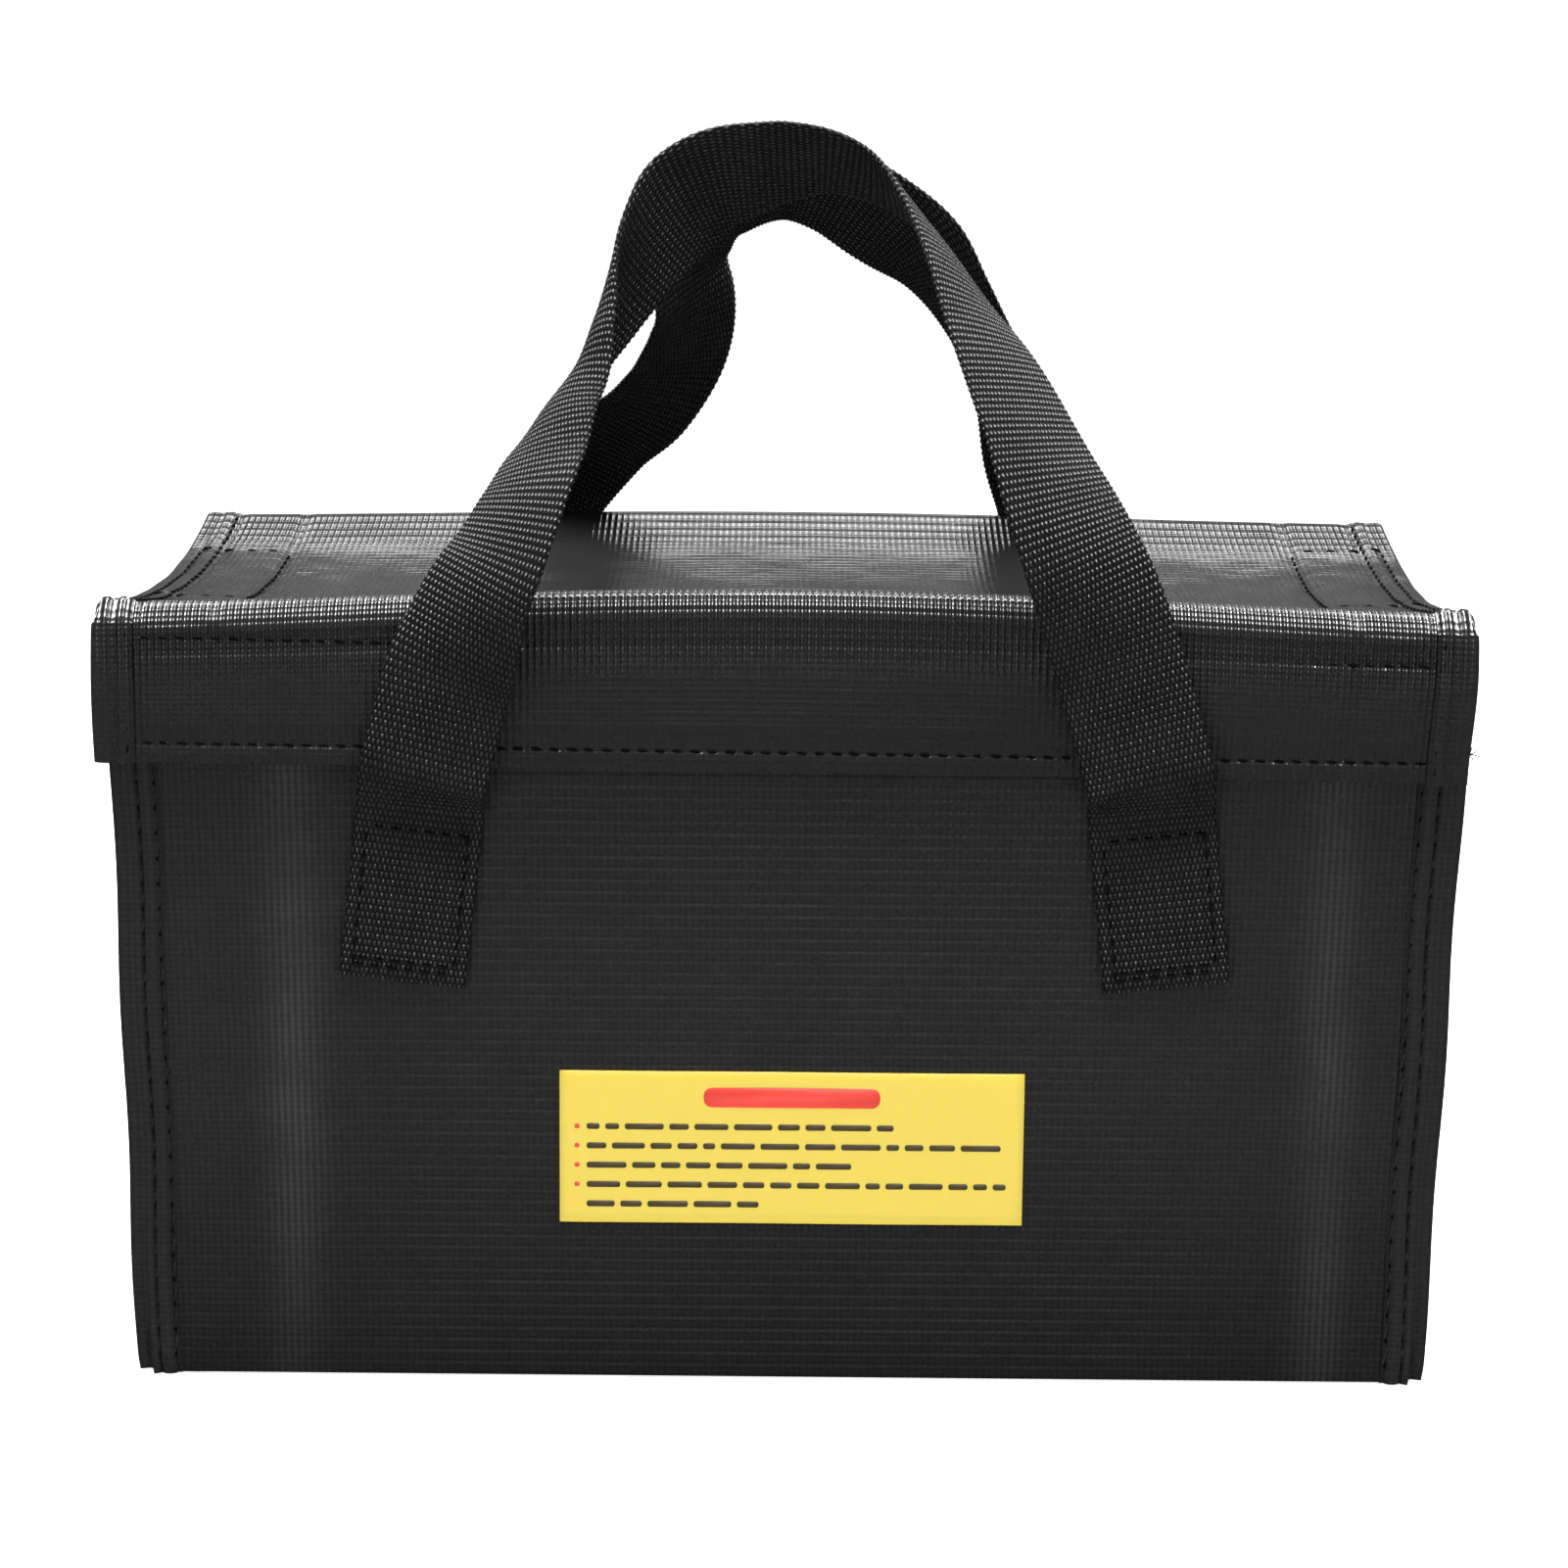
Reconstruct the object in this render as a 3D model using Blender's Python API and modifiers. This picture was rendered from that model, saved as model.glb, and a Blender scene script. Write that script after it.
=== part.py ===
"""Flap-lidded battery safe bag: a sewn box of coated glass-fibre cloth with two webbing handles.

Units are metres, +Z is up, +X runs along the bag's length and the front faces -Y. The origin is the
centre of the footprint, on the surface that the bag stands on.
"""

import math

import bmesh
import bpy
from mathutils import Matrix, Vector

# Driving dimensions of the box
LENGTH = 0.260
WIDTH = 0.130
LID_TOP = 0.154
LID_HALF_LENGTH = 0.134
LID_SAG = 0.0064
SKIRT_BOTTOM = 0.1225

# Layers of the walls, from the outside in
GAP = 0.0003
CLOTH = 0.0010
INTERLINING = 0.0020
LINING = 0.0008
TAPE = 0.0010
TAPE_WIDTH = 0.020
TAPE_HALF_LENGTH = 0.125

# Rims, flaps and seams
RIM_TOP = 0.1490
END_WALL_TOP = 0.1408
FLAP_BOTTOM = 0.1414
FLAP_THICKNESS = 0.0012
FLAP_LENGTH = 0.036
FLAP_HALF_WIDTH = 0.057
END_TAPE_INSET = 0.007
END_TAPE_HALF_WIDTH = 0.0450
SEAM_WIDTH = 0.0077
SEAM_TOP = 0.1257
HINGE_HEIGHT = 0.1410

# Webbing
WEBBING_WIDTH = 0.025
WEBBING_THICKNESS = 0.0020
PATCH_LENGTH = 0.033
PATCH_X = 0.0733
PATCH_HEIGHT = 0.0970
PATCH_TILT = math.radians(6.5)
STITCH_INSET = 0.0035
THREAD_RADIUS = 0.00025
FOLD_CLEARANCE = 0.0006
STEPS_PER_SPAN = 2

# Label
LABEL_SIZE = (0.092, 0.0004, 0.031)
LABEL_CENTRE = (0.0017, 0.0470)

# Faces of the layers, as distances from the middle planes
HALF_X = LENGTH / 2
HALF_Y = WIDTH / 2
CLOTH_X = HALF_X - CLOTH
CLOTH_Y = HALF_Y - CLOTH
FELT_OUT_X = CLOTH_X - GAP
FELT_OUT_Y = CLOTH_Y - GAP
FELT_IN_X = FELT_OUT_X - INTERLINING
FELT_IN_Y = FELT_OUT_Y - INTERLINING
LINING_OUT_X = FELT_IN_X - GAP
LINING_OUT_Y = FELT_IN_Y - GAP
LINING_IN_X = LINING_OUT_X - LINING
LINING_IN_Y = LINING_OUT_Y - LINING
FELT_FLOOR = CLOTH + GAP
LINING_FLOOR = FELT_FLOOR + INTERLINING + GAP
HOOK_Y = HALF_Y + GAP
LOOP_Y = HOOK_Y + TAPE + GAP
SKIRT_Y = LOOP_Y + TAPE + GAP
LID_FRONT = SKIRT_Y + CLOTH
SPINE_Y = HALF_Y + 0.0008
LID_BACK = SPINE_Y + CLOTH
FLAP_HINGE_X = LINING_IN_X - GAP
WEBBING_Y = HALF_Y + GAP + WEBBING_THICKNESS / 2
HANDLE_AXIS_Y = HALF_Y + GAP + WEBBING_THICKNESS + FOLD_CLEARANCE
HANDLE_AXIS_Z = 0.1137

# Routes of the handle loops: the centre line in millimetres and the webbing's turn in degrees about
# it. With no turn the webbing's outer face looks away from the bag.
FRONT_ROUTE = [
    (-71.4, -66.3, 114.0, 0),
    (-71.2, -66.8, 116.0, 0),
    (-70.9, -69.2, 118.8, 0),
    (-70.3, -71.6, 121.8, 0),
    (-68.7, -72.3, 128.0, 0),
    (-65.5, -73.4, 140.5, -4),
    (-62.4, -75.5, 149.4, -19),
    (-58.9, -76.5, 159.2, -34),
    (-55.1, -75.0, 167.2, -44),
    (-50.6, -70.0, 177.9, -52),
    (-47.5, -64.0, 185.8, -56),
    (-44.7, -58.5, 193.5, -68),
    (-40.6, -53.5, 201.0, -86),
    (-37.8, -49.5, 208.0, -99),
    (-33.8, -45.0, 216.1, -117),
    (-28.2, -41.5, 224.6, -134),
    (-22.4, -38.5, 231.2, -146),
    (-14.8, -36.0, 236.3, -142),
    (-5.2, -34.5, 238.9, -133),
    (1.0, -34.0, 239.9, -127),
    (7.0, -34.3, 239.9, -120),
    (13.8, -35.0, 237.9, -113),
    (19.2, -36.5, 234.9, -104),
    (24.7, -40.0, 229.8, -93),
    (30.0, -45.0, 222.8, -81),
    (35.4, -52.0, 212.8, -69),
    (39.1, -57.0, 205.8, -60),
    (42.7, -61.5, 198.2, -53),
    (47.2, -67.5, 187.9, -46),
    (51.2, -72.5, 178.2, -35),
    (55.3, -75.5, 168.3, -24),
    (59.7, -75.5, 157.1, -12),
    (64.1, -73.6, 143.7, -3),
    (69.0, -72.3, 127.5, 0),
    (70.5, -71.6, 121.8, 0),
    (71.0, -69.2, 118.8, 0),
    (71.2, -66.8, 116.0, 0),
    (71.4, -66.3, 114.0, 0),
]
BACK_ROUTE = [
    (-71.4, 66.3, 114.0, 0),
    (-71.2, 66.8, 116.0, 0),
    (-70.9, 69.2, 118.8, 0),
    (-70.3, 71.6, 121.8, 0),
    (-68.5, 72.3, 128.0, 0),
    (-65.0, 72.3, 140.0, 0),
    (-60.2, 72.6, 150.0, 1),
    (-54.2, 66.0, 162.5, 20),
    (-42.6, 56.0, 174.7, 38),
    (-32.5, 49.0, 182.8, 43),
    (-26.3, 44.0, 190.9, 44),
    (-22.9, 38.0, 199.0, 44),
    (-21.5, 32.0, 207.9, 48),
    (-22.3, 28.0, 216.9, 50),
    (-19.3, 25.5, 226.6, 48),
    (-10.7, 23.5, 233.7, 43),
    (-1.1, 22.5, 236.1, 41),
    (8.7, 22.5, 233.3, 40),
    (18.6, 23.0, 227.4, 37),
    (27.8, 25.0, 220.8, 42),
    (34.5, 28.0, 212.8, 55),
    (40.9, 33.0, 203.1, 61),
    (46.6, 40.0, 193.1, 60),
    (51.6, 48.0, 182.8, 50),
    (55.3, 57.0, 172.2, 34),
    (60.2, 67.0, 160.1, 16),
    (60.8, 72.4, 149.5, 1),
    (65.0, 72.3, 139.5, 0),
    (69.0, 72.3, 127.5, 0),
    (70.5, 71.6, 121.8, 0),
    (71.0, 69.2, 118.8, 0),
    (71.2, 66.8, 116.0, 0),
    (71.4, 66.3, 114.0, 0),
]

BLACK_CLOTH = ("coated_cloth", (0.020, 0.020, 0.021), 0.42)
FELT = ("felt", (0.30, 0.30, 0.29), 0.95)
GREY_CLOTH = ("lining_cloth", (0.075, 0.077, 0.080), 0.70)
BINDING = ("binding_cloth", (0.018, 0.018, 0.019), 0.50)
HOOK_TAPE = ("hook_tape", (0.012, 0.012, 0.012), 0.80)
LOOP_TAPE = ("loop_tape", (0.015, 0.015, 0.015), 0.95)
WEBBING = ("webbing", (0.012, 0.012, 0.013), 0.60)
THREAD = ("thread", (0.010, 0.010, 0.010), 0.55)
YELLOW = ("label_film", (0.88, 0.68, 0.08), 0.45)


def clear_scene():
    for item in list(bpy.data.objects):
        bpy.data.objects.remove(item, do_unlink=True)
    for group in list(bpy.data.collections):
        bpy.data.collections.remove(group)


def new_material(name, colour, roughness):
    material = bpy.data.materials.new(name)
    material.use_nodes = True
    shader = material.node_tree.nodes["Principled BSDF"]
    shader.inputs["Base Color"].default_value = (*colour, 1.0)
    shader.inputs["Roughness"].default_value = roughness
    shader.inputs["Metallic"].default_value = 0.0
    return material


def add_object(name, data, finish, parent, origin):
    """Link an object whose data is drawn about origin, a point in the bag's own frame."""
    item = bpy.data.objects.new(name, data)
    data.materials.append(new_material(f"{name}_{finish[0]}", *finish[1:]))
    BAG.objects.link(item)
    item.location = origin
    if parent:
        item.parent = parent
        item.location = Vector(origin) - parent.location
    return item


def add_axis(name, point):
    """An empty on a joint's axis, which the moving pieces hang from."""
    empty = bpy.data.objects.new(name, None)
    empty.empty_display_size = 0.02
    empty.location = point
    BAG.objects.link(empty)
    return empty


def mesh_from(mesh_builder, name):
    mesh = bpy.data.meshes.new(name)
    mesh_builder.to_mesh(mesh)
    mesh_builder.free()
    return mesh


def plate(name, low, high, finish, parent=None):
    """A flat layer that fills the box from low to high."""
    low, high = Vector(low), Vector(high)
    builder = bmesh.new()
    bmesh.ops.create_cube(builder, size=1.0)
    bmesh.ops.scale(builder, vec=high - low, verts=builder.verts)
    return add_object(name, mesh_from(builder, name), finish, parent, (low + high) / 2)


def sheet(name, across, along, place, thickness, finish, parent=None):
    """An open grid of across x along faces, put in place by a function of u and v, then thickened."""
    builder = bmesh.new()
    bmesh.ops.create_grid(builder, x_segments=across, y_segments=along, size=0.5)
    for vertex in builder.verts:
        vertex.co = place(vertex.co.x + 0.5, vertex.co.y + 0.5)
    item = add_object(name, mesh_from(builder, name), finish, parent, (0, 0, 0))
    solid = item.modifiers.new("thickness", "SOLIDIFY")
    solid.thickness = thickness
    solid.offset = 0.0
    solid.use_even_offset = True
    return item


def between(low, high, share):
    return low + (high - low) * share


def lid_height(y):
    """Height of the lid's outer face, which sags between its front and rear edges."""
    middle = (LID_BACK - LID_FRONT) / 2
    half = (LID_BACK + LID_FRONT) / 2
    return LID_TOP - LID_SAG * (1 - ((y - middle) / half) ** 2)


def sagging_layer(name, x_range, y_range, depth, thickness, finish, parent):
    """A layer under the lid's outer face: depth is from that face to the layer's middle."""

    def place(u, v):
        y = between(*y_range, v)
        return Vector((between(*x_range, u), y, lid_height(y) - depth))

    return sheet(name, 2, 10, place, thickness, finish, parent)


def smooth_route(route):
    """Points and turns along a smooth curve through a route's own points."""
    points = [Vector(step[:3]) / 1000 for step in route]
    turns = [math.radians(step[3]) for step in route]
    spots = []
    for i in range(len(points) - 1):
        before, after = max(i - 1, 0), min(i + 2, len(points) - 1)
        for step in range(STEPS_PER_SPAN):
            t = step / STEPS_PER_SPAN
            a, b, c, d = (points[j] for j in (before, i, i + 1, after))
            spot = 0.5 * (2 * b + (c - a) * t + (2 * a - 5 * b + 4 * c - d) * t**2)
            spot += 0.5 * (3 * b - a - 3 * c + d) * t**3
            spots.append((spot, between(turns[i], turns[i + 1], t)))
    spots.append((points[-1], turns[-1]))
    return spots


def webbing_loop(name, route, outward, parent):
    """Flat webbing swept along a route: a loft between rectangles that turn along the way."""
    spots = smooth_route(route)
    builder = bmesh.new()
    rings = []
    for i, (spot, turn) in enumerate(spots):
        ahead = spots[min(i + 1, len(spots) - 1)][0] - spots[max(i - 1, 0)][0]
        ahead.normalize()
        facing = (outward - outward.dot(ahead) * ahead).normalized()
        facing = Matrix.Rotation(turn, 3, ahead) @ facing
        side = ahead.cross(facing) * WEBBING_WIDTH / 2
        facing = facing * WEBBING_THICKNESS / 2
        corners = (side + facing, side - facing, -side - facing, facing - side)
        rings.append([builder.verts.new(spot + corner) for corner in corners])
    for first, second in zip(rings, rings[1:]):
        for k in range(4):
            builder.faces.new((first[k], first[k - 1], second[k - 1], second[k]))
    builder.faces.new(rings[0])
    builder.faces.new(reversed(rings[-1]))
    bmesh.ops.recalc_face_normals(builder, faces=builder.faces)
    return add_object(name, mesh_from(builder, name), WEBBING, parent, (0, 0, 0))


def make_walls():
    """Outer cloth, felt interlining and lining of the box's five sides."""
    for side, sign in (("front", -1), ("back", 1)):
        for layer, out, inner, half_x, floor, finish in (
            ("panel", HALF_Y, CLOTH_Y, HALF_X, 0.0, BLACK_CLOTH),
            ("interlining", FELT_OUT_Y, FELT_IN_Y, LINING_OUT_X, FELT_FLOOR, FELT),
            ("lining", LINING_OUT_Y, LINING_IN_Y, FLAP_HINGE_X, LINING_FLOOR, GREY_CLOTH),
        ):
            faces = sorted((sign * out, sign * inner))
            low = (-half_x, faces[0], floor)
            high = (half_x, faces[1], RIM_TOP - CLOTH - GAP)
            plate(f"{side}_{layer}", low, high, finish)
    for side, sign in (("left", -1), ("right", 1)):
        for layer, out, inner, half_y, floor, finish in (
            ("panel", HALF_X, CLOTH_X, FELT_OUT_Y, 0.0, BLACK_CLOTH),
            ("interlining", FELT_OUT_X, FELT_IN_X, FELT_OUT_Y, FELT_FLOOR, FELT),
            ("lining", LINING_OUT_X, LINING_IN_X, LINING_OUT_Y, LINING_FLOOR, GREY_CLOTH),
        ):
            faces = sorted((sign * out, sign * inner))
            low = (faces[0], -half_y, floor)
            high = (faces[1], half_y, END_WALL_TOP)
            plate(f"{side}_end_{layer}", low, high, finish)
    for layer, half_x, half_y, floor, thickness, finish in (
        ("panel", FELT_OUT_X, FELT_OUT_Y, 0.0, CLOTH, BLACK_CLOTH),
        ("interlining", LINING_OUT_X, LINING_OUT_Y, FELT_FLOOR, INTERLINING, FELT),
        ("lining", FLAP_HINGE_X, LINING_IN_Y - GAP, LINING_FLOOR, LINING, GREY_CLOTH),
    ):
        low = (-half_x, -half_y, floor)
        plate(f"bottom_{layer}", low, (half_x, half_y, floor + thickness), finish)


def make_trim():
    """Corner seam strips, rim bindings, the front hook tape and the label."""
    for side, sign in (("front", -1), ("back", 1)):
        faces = sorted((sign * HOOK_Y, sign * (HOOK_Y + CLOTH)))
        for end, inner, outer in (
            ("left", -HALF_X, -HALF_X + SEAM_WIDTH),
            ("right", HALF_X - SEAM_WIDTH, HALF_X),
        ):
            low = (inner, faces[0], 0.0)
            plate(f"{side}_{end}_seam_strip", low, (outer, faces[1], SEAM_TOP), BINDING)
        faces = sorted((sign * HALF_Y, sign * LINING_IN_Y))
        low = (-HALF_X, faces[0], RIM_TOP - CLOTH)
        plate(f"{side}_rim_binding", low, (HALF_X, faces[1], RIM_TOP), BINDING)
    tape_bottom = SEAM_TOP + GAP
    low = (-TAPE_HALF_LENGTH, -HOOK_Y - TAPE, tape_bottom)
    high = (TAPE_HALF_LENGTH, -HOOK_Y, tape_bottom + TAPE_WIDTH)
    plate("front_hook_tape", low, high, HOOK_TAPE)
    half = Vector(LABEL_SIZE) / 2
    centre = Vector((LABEL_CENTRE[0], -HOOK_Y - half.y, LABEL_CENTRE[1]))
    plate("label", centre - half, centre + half, YELLOW)


def make_webbing_ends():
    """The four sewn ends of the handles, each held by a rectangle of box stitching."""
    half_x = WEBBING_WIDTH / 2 - STITCH_INSET
    half_z = PATCH_LENGTH / 2 - STITCH_INSET
    for side, face in (("front", -1), ("back", 1)):
        for end, sign in (("left", -1), ("right", 1)):
            builder = bmesh.new()
            bmesh.ops.create_cube(builder, size=1.0)
            size = (WEBBING_WIDTH, WEBBING_THICKNESS, PATCH_LENGTH)
            bmesh.ops.scale(builder, vec=size, verts=builder.verts)
            name = f"{side}_{end}_webbing_end"
            centre = (sign * PATCH_X, face * WEBBING_Y, PATCH_HEIGHT)
            patch = add_object(name, mesh_from(builder, name), WEBBING, None, centre)
            patch.rotation_euler = (0, -sign * PATCH_TILT, 0)
            name = f"{side}_{end}_box_stitch"
            thread = bpy.data.curves.new(name, "CURVE")
            thread.dimensions = "3D"
            thread.bevel_depth = THREAD_RADIUS
            thread.bevel_resolution = 1
            ring = thread.splines.new("POLY")
            ring.points.add(3)
            ring.use_cyclic_u = True
            for point, (x, z) in zip(ring.points, ((-1, -1), (1, -1), (1, 1), (-1, 1))):
                point.co = (x * half_x, 0, z * half_z, 1)
            depth = WEBBING_Y + WEBBING_THICKNESS / 2 + GAP + THREAD_RADIUS
            centre = (sign * PATCH_X, face * depth, PATCH_HEIGHT)
            ring_item = add_object(name, thread, THREAD, None, centre)
            ring_item.rotation_euler = (0, -sign * PATCH_TILT, 0)


def make_lid():
    """Outer cloth, lining, three skirts, hinge strip, corner tabs and loop tapes of the lid."""
    axis = add_axis("lid_hinge_axis", (0, LID_BACK, HINGE_HEIGHT))
    half_x = LID_HALF_LENGTH
    outer_x = (-half_x, half_x)
    outer_y = (-LID_FRONT, LID_BACK)
    sagging_layer("lid_top_panel", outer_x, outer_y, CLOTH / 2, CLOTH, BLACK_CLOTH, axis)
    lining_depth = CLOTH + GAP + LINING / 2
    inner_x = (-half_x + CLOTH + GAP, half_x - CLOTH - GAP)
    inner_y = (-LOOP_Y + GAP, LINING_IN_Y - GAP)
    sagging_layer("lid_lining", inner_x, inner_y, lining_depth, LINING, GREY_CLOTH, axis)
    tape_depth = lining_depth + LINING / 2 + GAP + TAPE / 2
    tape_y = (-END_TAPE_HALF_WIDTH, END_TAPE_HALF_WIDTH)
    for side, sign in (("left", -1), ("right", 1)):
        tape_out = sign * (half_x - END_TAPE_INSET - CLOTH)
        tape_x = sorted((tape_out, tape_out - sign * TAPE_WIDTH))
        name = f"lid_{side}_loop_tape"
        sagging_layer(name, tape_x, tape_y, tape_depth, TAPE, LOOP_TAPE, axis)

        def place(u, v, x=sign * (half_x - CLOTH / 2)):
            y = between(-SKIRT_Y + GAP, LINING_IN_Y, u)
            top = lid_height(y) - CLOTH - GAP * 2
            return Vector((x, y, between(SKIRT_BOTTOM, top, v)))

        sheet(f"lid_{side}_skirt", 10, 1, place, CLOTH, BLACK_CLOTH, axis)
        tab_x = sorted((sign * half_x, sign * (half_x - SEAM_WIDTH)))
        low = (tab_x[0], -LID_FRONT - GAP - CLOTH, SKIRT_BOTTOM)
        high = (tab_x[1], -LID_FRONT - GAP, LID_TOP - CLOTH - GAP)
        plate(f"lid_{side}_corner_tab", low, high, BINDING, axis)
    skirt_top = LID_TOP - CLOTH - GAP * 2
    low = (-half_x, -LID_FRONT, SKIRT_BOTTOM)
    plate("lid_front_skirt", low, (half_x, -SKIRT_Y, skirt_top), BLACK_CLOTH, axis)
    low = (-TAPE_HALF_LENGTH, -LOOP_Y - TAPE, SEAM_TOP)
    high = (TAPE_HALF_LENGTH, -LOOP_Y, SEAM_TOP + TAPE_WIDTH)
    plate("lid_front_loop_tape", low, high, LOOP_TAPE, axis)
    low = (-HALF_X, SPINE_Y, HINGE_HEIGHT + GAP)
    plate("lid_hinge_strip", low, (HALF_X, LID_BACK, skirt_top), BLACK_CLOTH, axis)


def make_flaps():
    """Two fold-in end flaps with hook tape on top, under the lid's loop tapes."""
    for side, sign in (("left", -1), ("right", 1)):
        axis = add_axis(f"{side}_flap_hinge_axis", (sign * FLAP_HINGE_X, 0, FLAP_BOTTOM))
        root = sign * (FLAP_HINGE_X - GAP)
        flap_x = sorted((root, root - sign * FLAP_LENGTH))
        top = FLAP_BOTTOM + FLAP_THICKNESS
        low = (flap_x[0], -FLAP_HALF_WIDTH, FLAP_BOTTOM)
        high = (flap_x[1], FLAP_HALF_WIDTH, top)
        plate(f"{side}_flap", low, high, BLACK_CLOTH, axis)
        tape_out = sign * (LID_HALF_LENGTH - END_TAPE_INSET - 3 * CLOTH)
        tape_x = sorted((tape_out, tape_out - sign * TAPE_WIDTH))
        low = (tape_x[0], -END_TAPE_HALF_WIDTH, top + GAP)
        high = (tape_x[1], END_TAPE_HALF_WIDTH, top + GAP + TAPE)
        plate(f"{side}_flap_hook_tape", low, high, HOOK_TAPE, axis)


def make_handles():
    """The two free loops of webbing, which swing at the top of their sewn ends."""
    for side, sign, route in (("front", -1, FRONT_ROUTE), ("back", 1, BACK_ROUTE)):
        point = (0, sign * HANDLE_AXIS_Y, HANDLE_AXIS_Z)
        axis = add_axis(f"{side}_handle_axis", point)
        webbing_loop(f"{side}_handle", route, Vector((0, sign, 0)), axis)


clear_scene()
BAG = bpy.data.collections.new("battery_safe_bag")
bpy.context.scene.collection.children.link(BAG)
make_walls()
make_trim()
make_webbing_ends()
make_lid()
make_flaps()
make_handles()
bpy.context.view_layer.update()
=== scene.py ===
"""Looks of the battery safe bag: sewn cloth shells, webbing, tapes, thread and label round the CAD frame.

Shapes are worked out in millimetres, in the frame's own axes, and scaled to metres as meshes are made.
"""
import math
import random

import bpy
from mathutils import Matrix, Vector


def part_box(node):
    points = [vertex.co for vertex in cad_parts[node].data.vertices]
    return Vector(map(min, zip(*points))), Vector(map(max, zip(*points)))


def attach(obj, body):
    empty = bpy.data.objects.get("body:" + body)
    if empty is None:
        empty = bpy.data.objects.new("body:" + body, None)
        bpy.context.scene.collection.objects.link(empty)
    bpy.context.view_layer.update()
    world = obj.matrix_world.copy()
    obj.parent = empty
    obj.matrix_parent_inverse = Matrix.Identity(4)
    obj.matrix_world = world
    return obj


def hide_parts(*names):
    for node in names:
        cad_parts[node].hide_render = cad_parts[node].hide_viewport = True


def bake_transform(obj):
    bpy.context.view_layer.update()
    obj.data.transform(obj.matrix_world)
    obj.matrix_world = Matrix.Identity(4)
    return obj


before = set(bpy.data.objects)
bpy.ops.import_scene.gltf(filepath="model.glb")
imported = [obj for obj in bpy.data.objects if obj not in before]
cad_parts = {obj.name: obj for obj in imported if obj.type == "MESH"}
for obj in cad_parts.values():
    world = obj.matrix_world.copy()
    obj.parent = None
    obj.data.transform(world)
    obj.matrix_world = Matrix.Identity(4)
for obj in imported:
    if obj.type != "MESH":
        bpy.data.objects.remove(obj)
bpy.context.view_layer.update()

MM = 0.001
RNG = random.Random(7)


def cad(node):
    """Lowest and highest corner of a CAD node, in millimetres."""
    low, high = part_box(node)
    return low / MM, high / MM


# Sizes read from the frame
WALL_LOW, WALL_HIGH = cad("front_panel")
HALF_X = WALL_HIGH.x
HALF_Y = -WALL_LOW.y
RIM = cad("front_rim_binding")[1].z
END_RIM = cad("left_end_panel")[1].z
LID_LOW, LID_HIGH = cad("lid_top_panel")
LID_X = LID_HIGH.x - 0.7
LID_FRONT = LID_LOW.y
LID_BACK = LID_HIGH.y
SAG = LID_HIGH.z - LID_LOW.z - 1.0
SKIRT_END = cad("lid_front_skirt")[0].z

# How the lid's cloth differs from the CAD's straight edges
LID_TOP = LID_HIGH.z + 1.2
FRONT_CROWN = 4.6
BACK_CROWN = 1.9
BACK_RISE = 2.5
FRONT_ROLL = 4.4
ROLL_BLUNTNESS = 1.4
BACK_ROLL = 3.0
END_ROLL = 1.2
SEAM_ALLOWANCE = 7.4
SKIRT_SLOPE = -0.0075

# Rows of stitches: heights on the lid's skirt and at its back, distances in from a seam's outer edge,
# and the rectangles that hold the tapes, as (distance in from the lid's end, y). COVER_START is the
# lower edge of the lid's cloth on the back wall.
UPPER_ROW = 146.9
LOWER_ROW = 127.2
BACK_ROW = 133.5
COVER_START = 130.5
UPPER_SLOPE = 1.9 * SKIRT_SLOPE
SEAM_ROWS = (3.7, 7.0)
END_ROWS = (3.3, 7.1)
TAPE_BOX = (Vector((3.3, -24.0)), Vector((22.8, 45.0)))
TAPE_SHORTER = {-1: 8.5, 1: 1.5}
STITCH_PITCH = 3.4
SKIRT_MARKS = (0.155, 0.86, 0.95)

# Body shell. OUTER_PART is where, in metres from the middle, the cloth's grid changes from its middle to
# its outer shares, which GRID_SHARES gives for ribs, rows and strong rows. WALL_FOLDS are (x, width,
# height), and the sheen bands (x, width, strength) are upright bands of painted sheen on the walls.
CORNER_RADIUS = 2.6
FLOOR_RADIUS = 0.9
FOOT_FLARE = 3.2
SIDE_SPREAD = {-1: (-2.3, 0.9), 1: (-2.6, 1.6)}
SEAM_WIDTH = 7.7
RIB_PITCH = 1.38
ROW_PITCH = 1.17
CLOTH = 0.6
OUTER_PART = (0.066, 0.098)
GRID_SHARES = ((0.38, 0.70), (0.34, 0.30), (0.36, 0.16))
WALL_FOLDS = ((-96, 9, 1.0), (107, 8, 0.9))
CREASE_START = Vector((-119, 2))
CREASE_WAY = Vector((7.5, 12))
CREASE_LENGTH = 14.2
PAINTED_SHEEN_BANDS = ((-97.0, 5.5, 0.6), (107.5, 5.0, 0.55))
LABEL_LIFT = 0.45
MARK_LIFT = 0.49

# Webbing
WEBBING_WIDTH = 25.0
WEBBING_THICKNESS = 1.5
WEAVE_ROW = 1.39
WEAVE_ACROSS = 1.89
PATCH_LENGTH = 33.0
PATCH_TILT = math.radians(6.5)
PATCH_CENTRE = Vector((73.3, 66.3, 97.0))
PATCH_MARGIN = 2.6
STRAP_COLUMNS = 54
ROW_STATIONS = 3
SCALLOP = 0.17
RIB_HEIGHT = 0.10

# Light levels of the world, and the camera
BACK_LIGHT = 0.05
SKY_LIGHT = 0.5
FRONT_LIGHT = 0.15
CAMERA_PLACE = (-0.00045, -0.75894, 0.25091)
CAMERA_TILT = math.radians(10.653)
CAMERA_ROLL = math.radians(0.53)
CAMERA_LENS = 83.17

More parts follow.
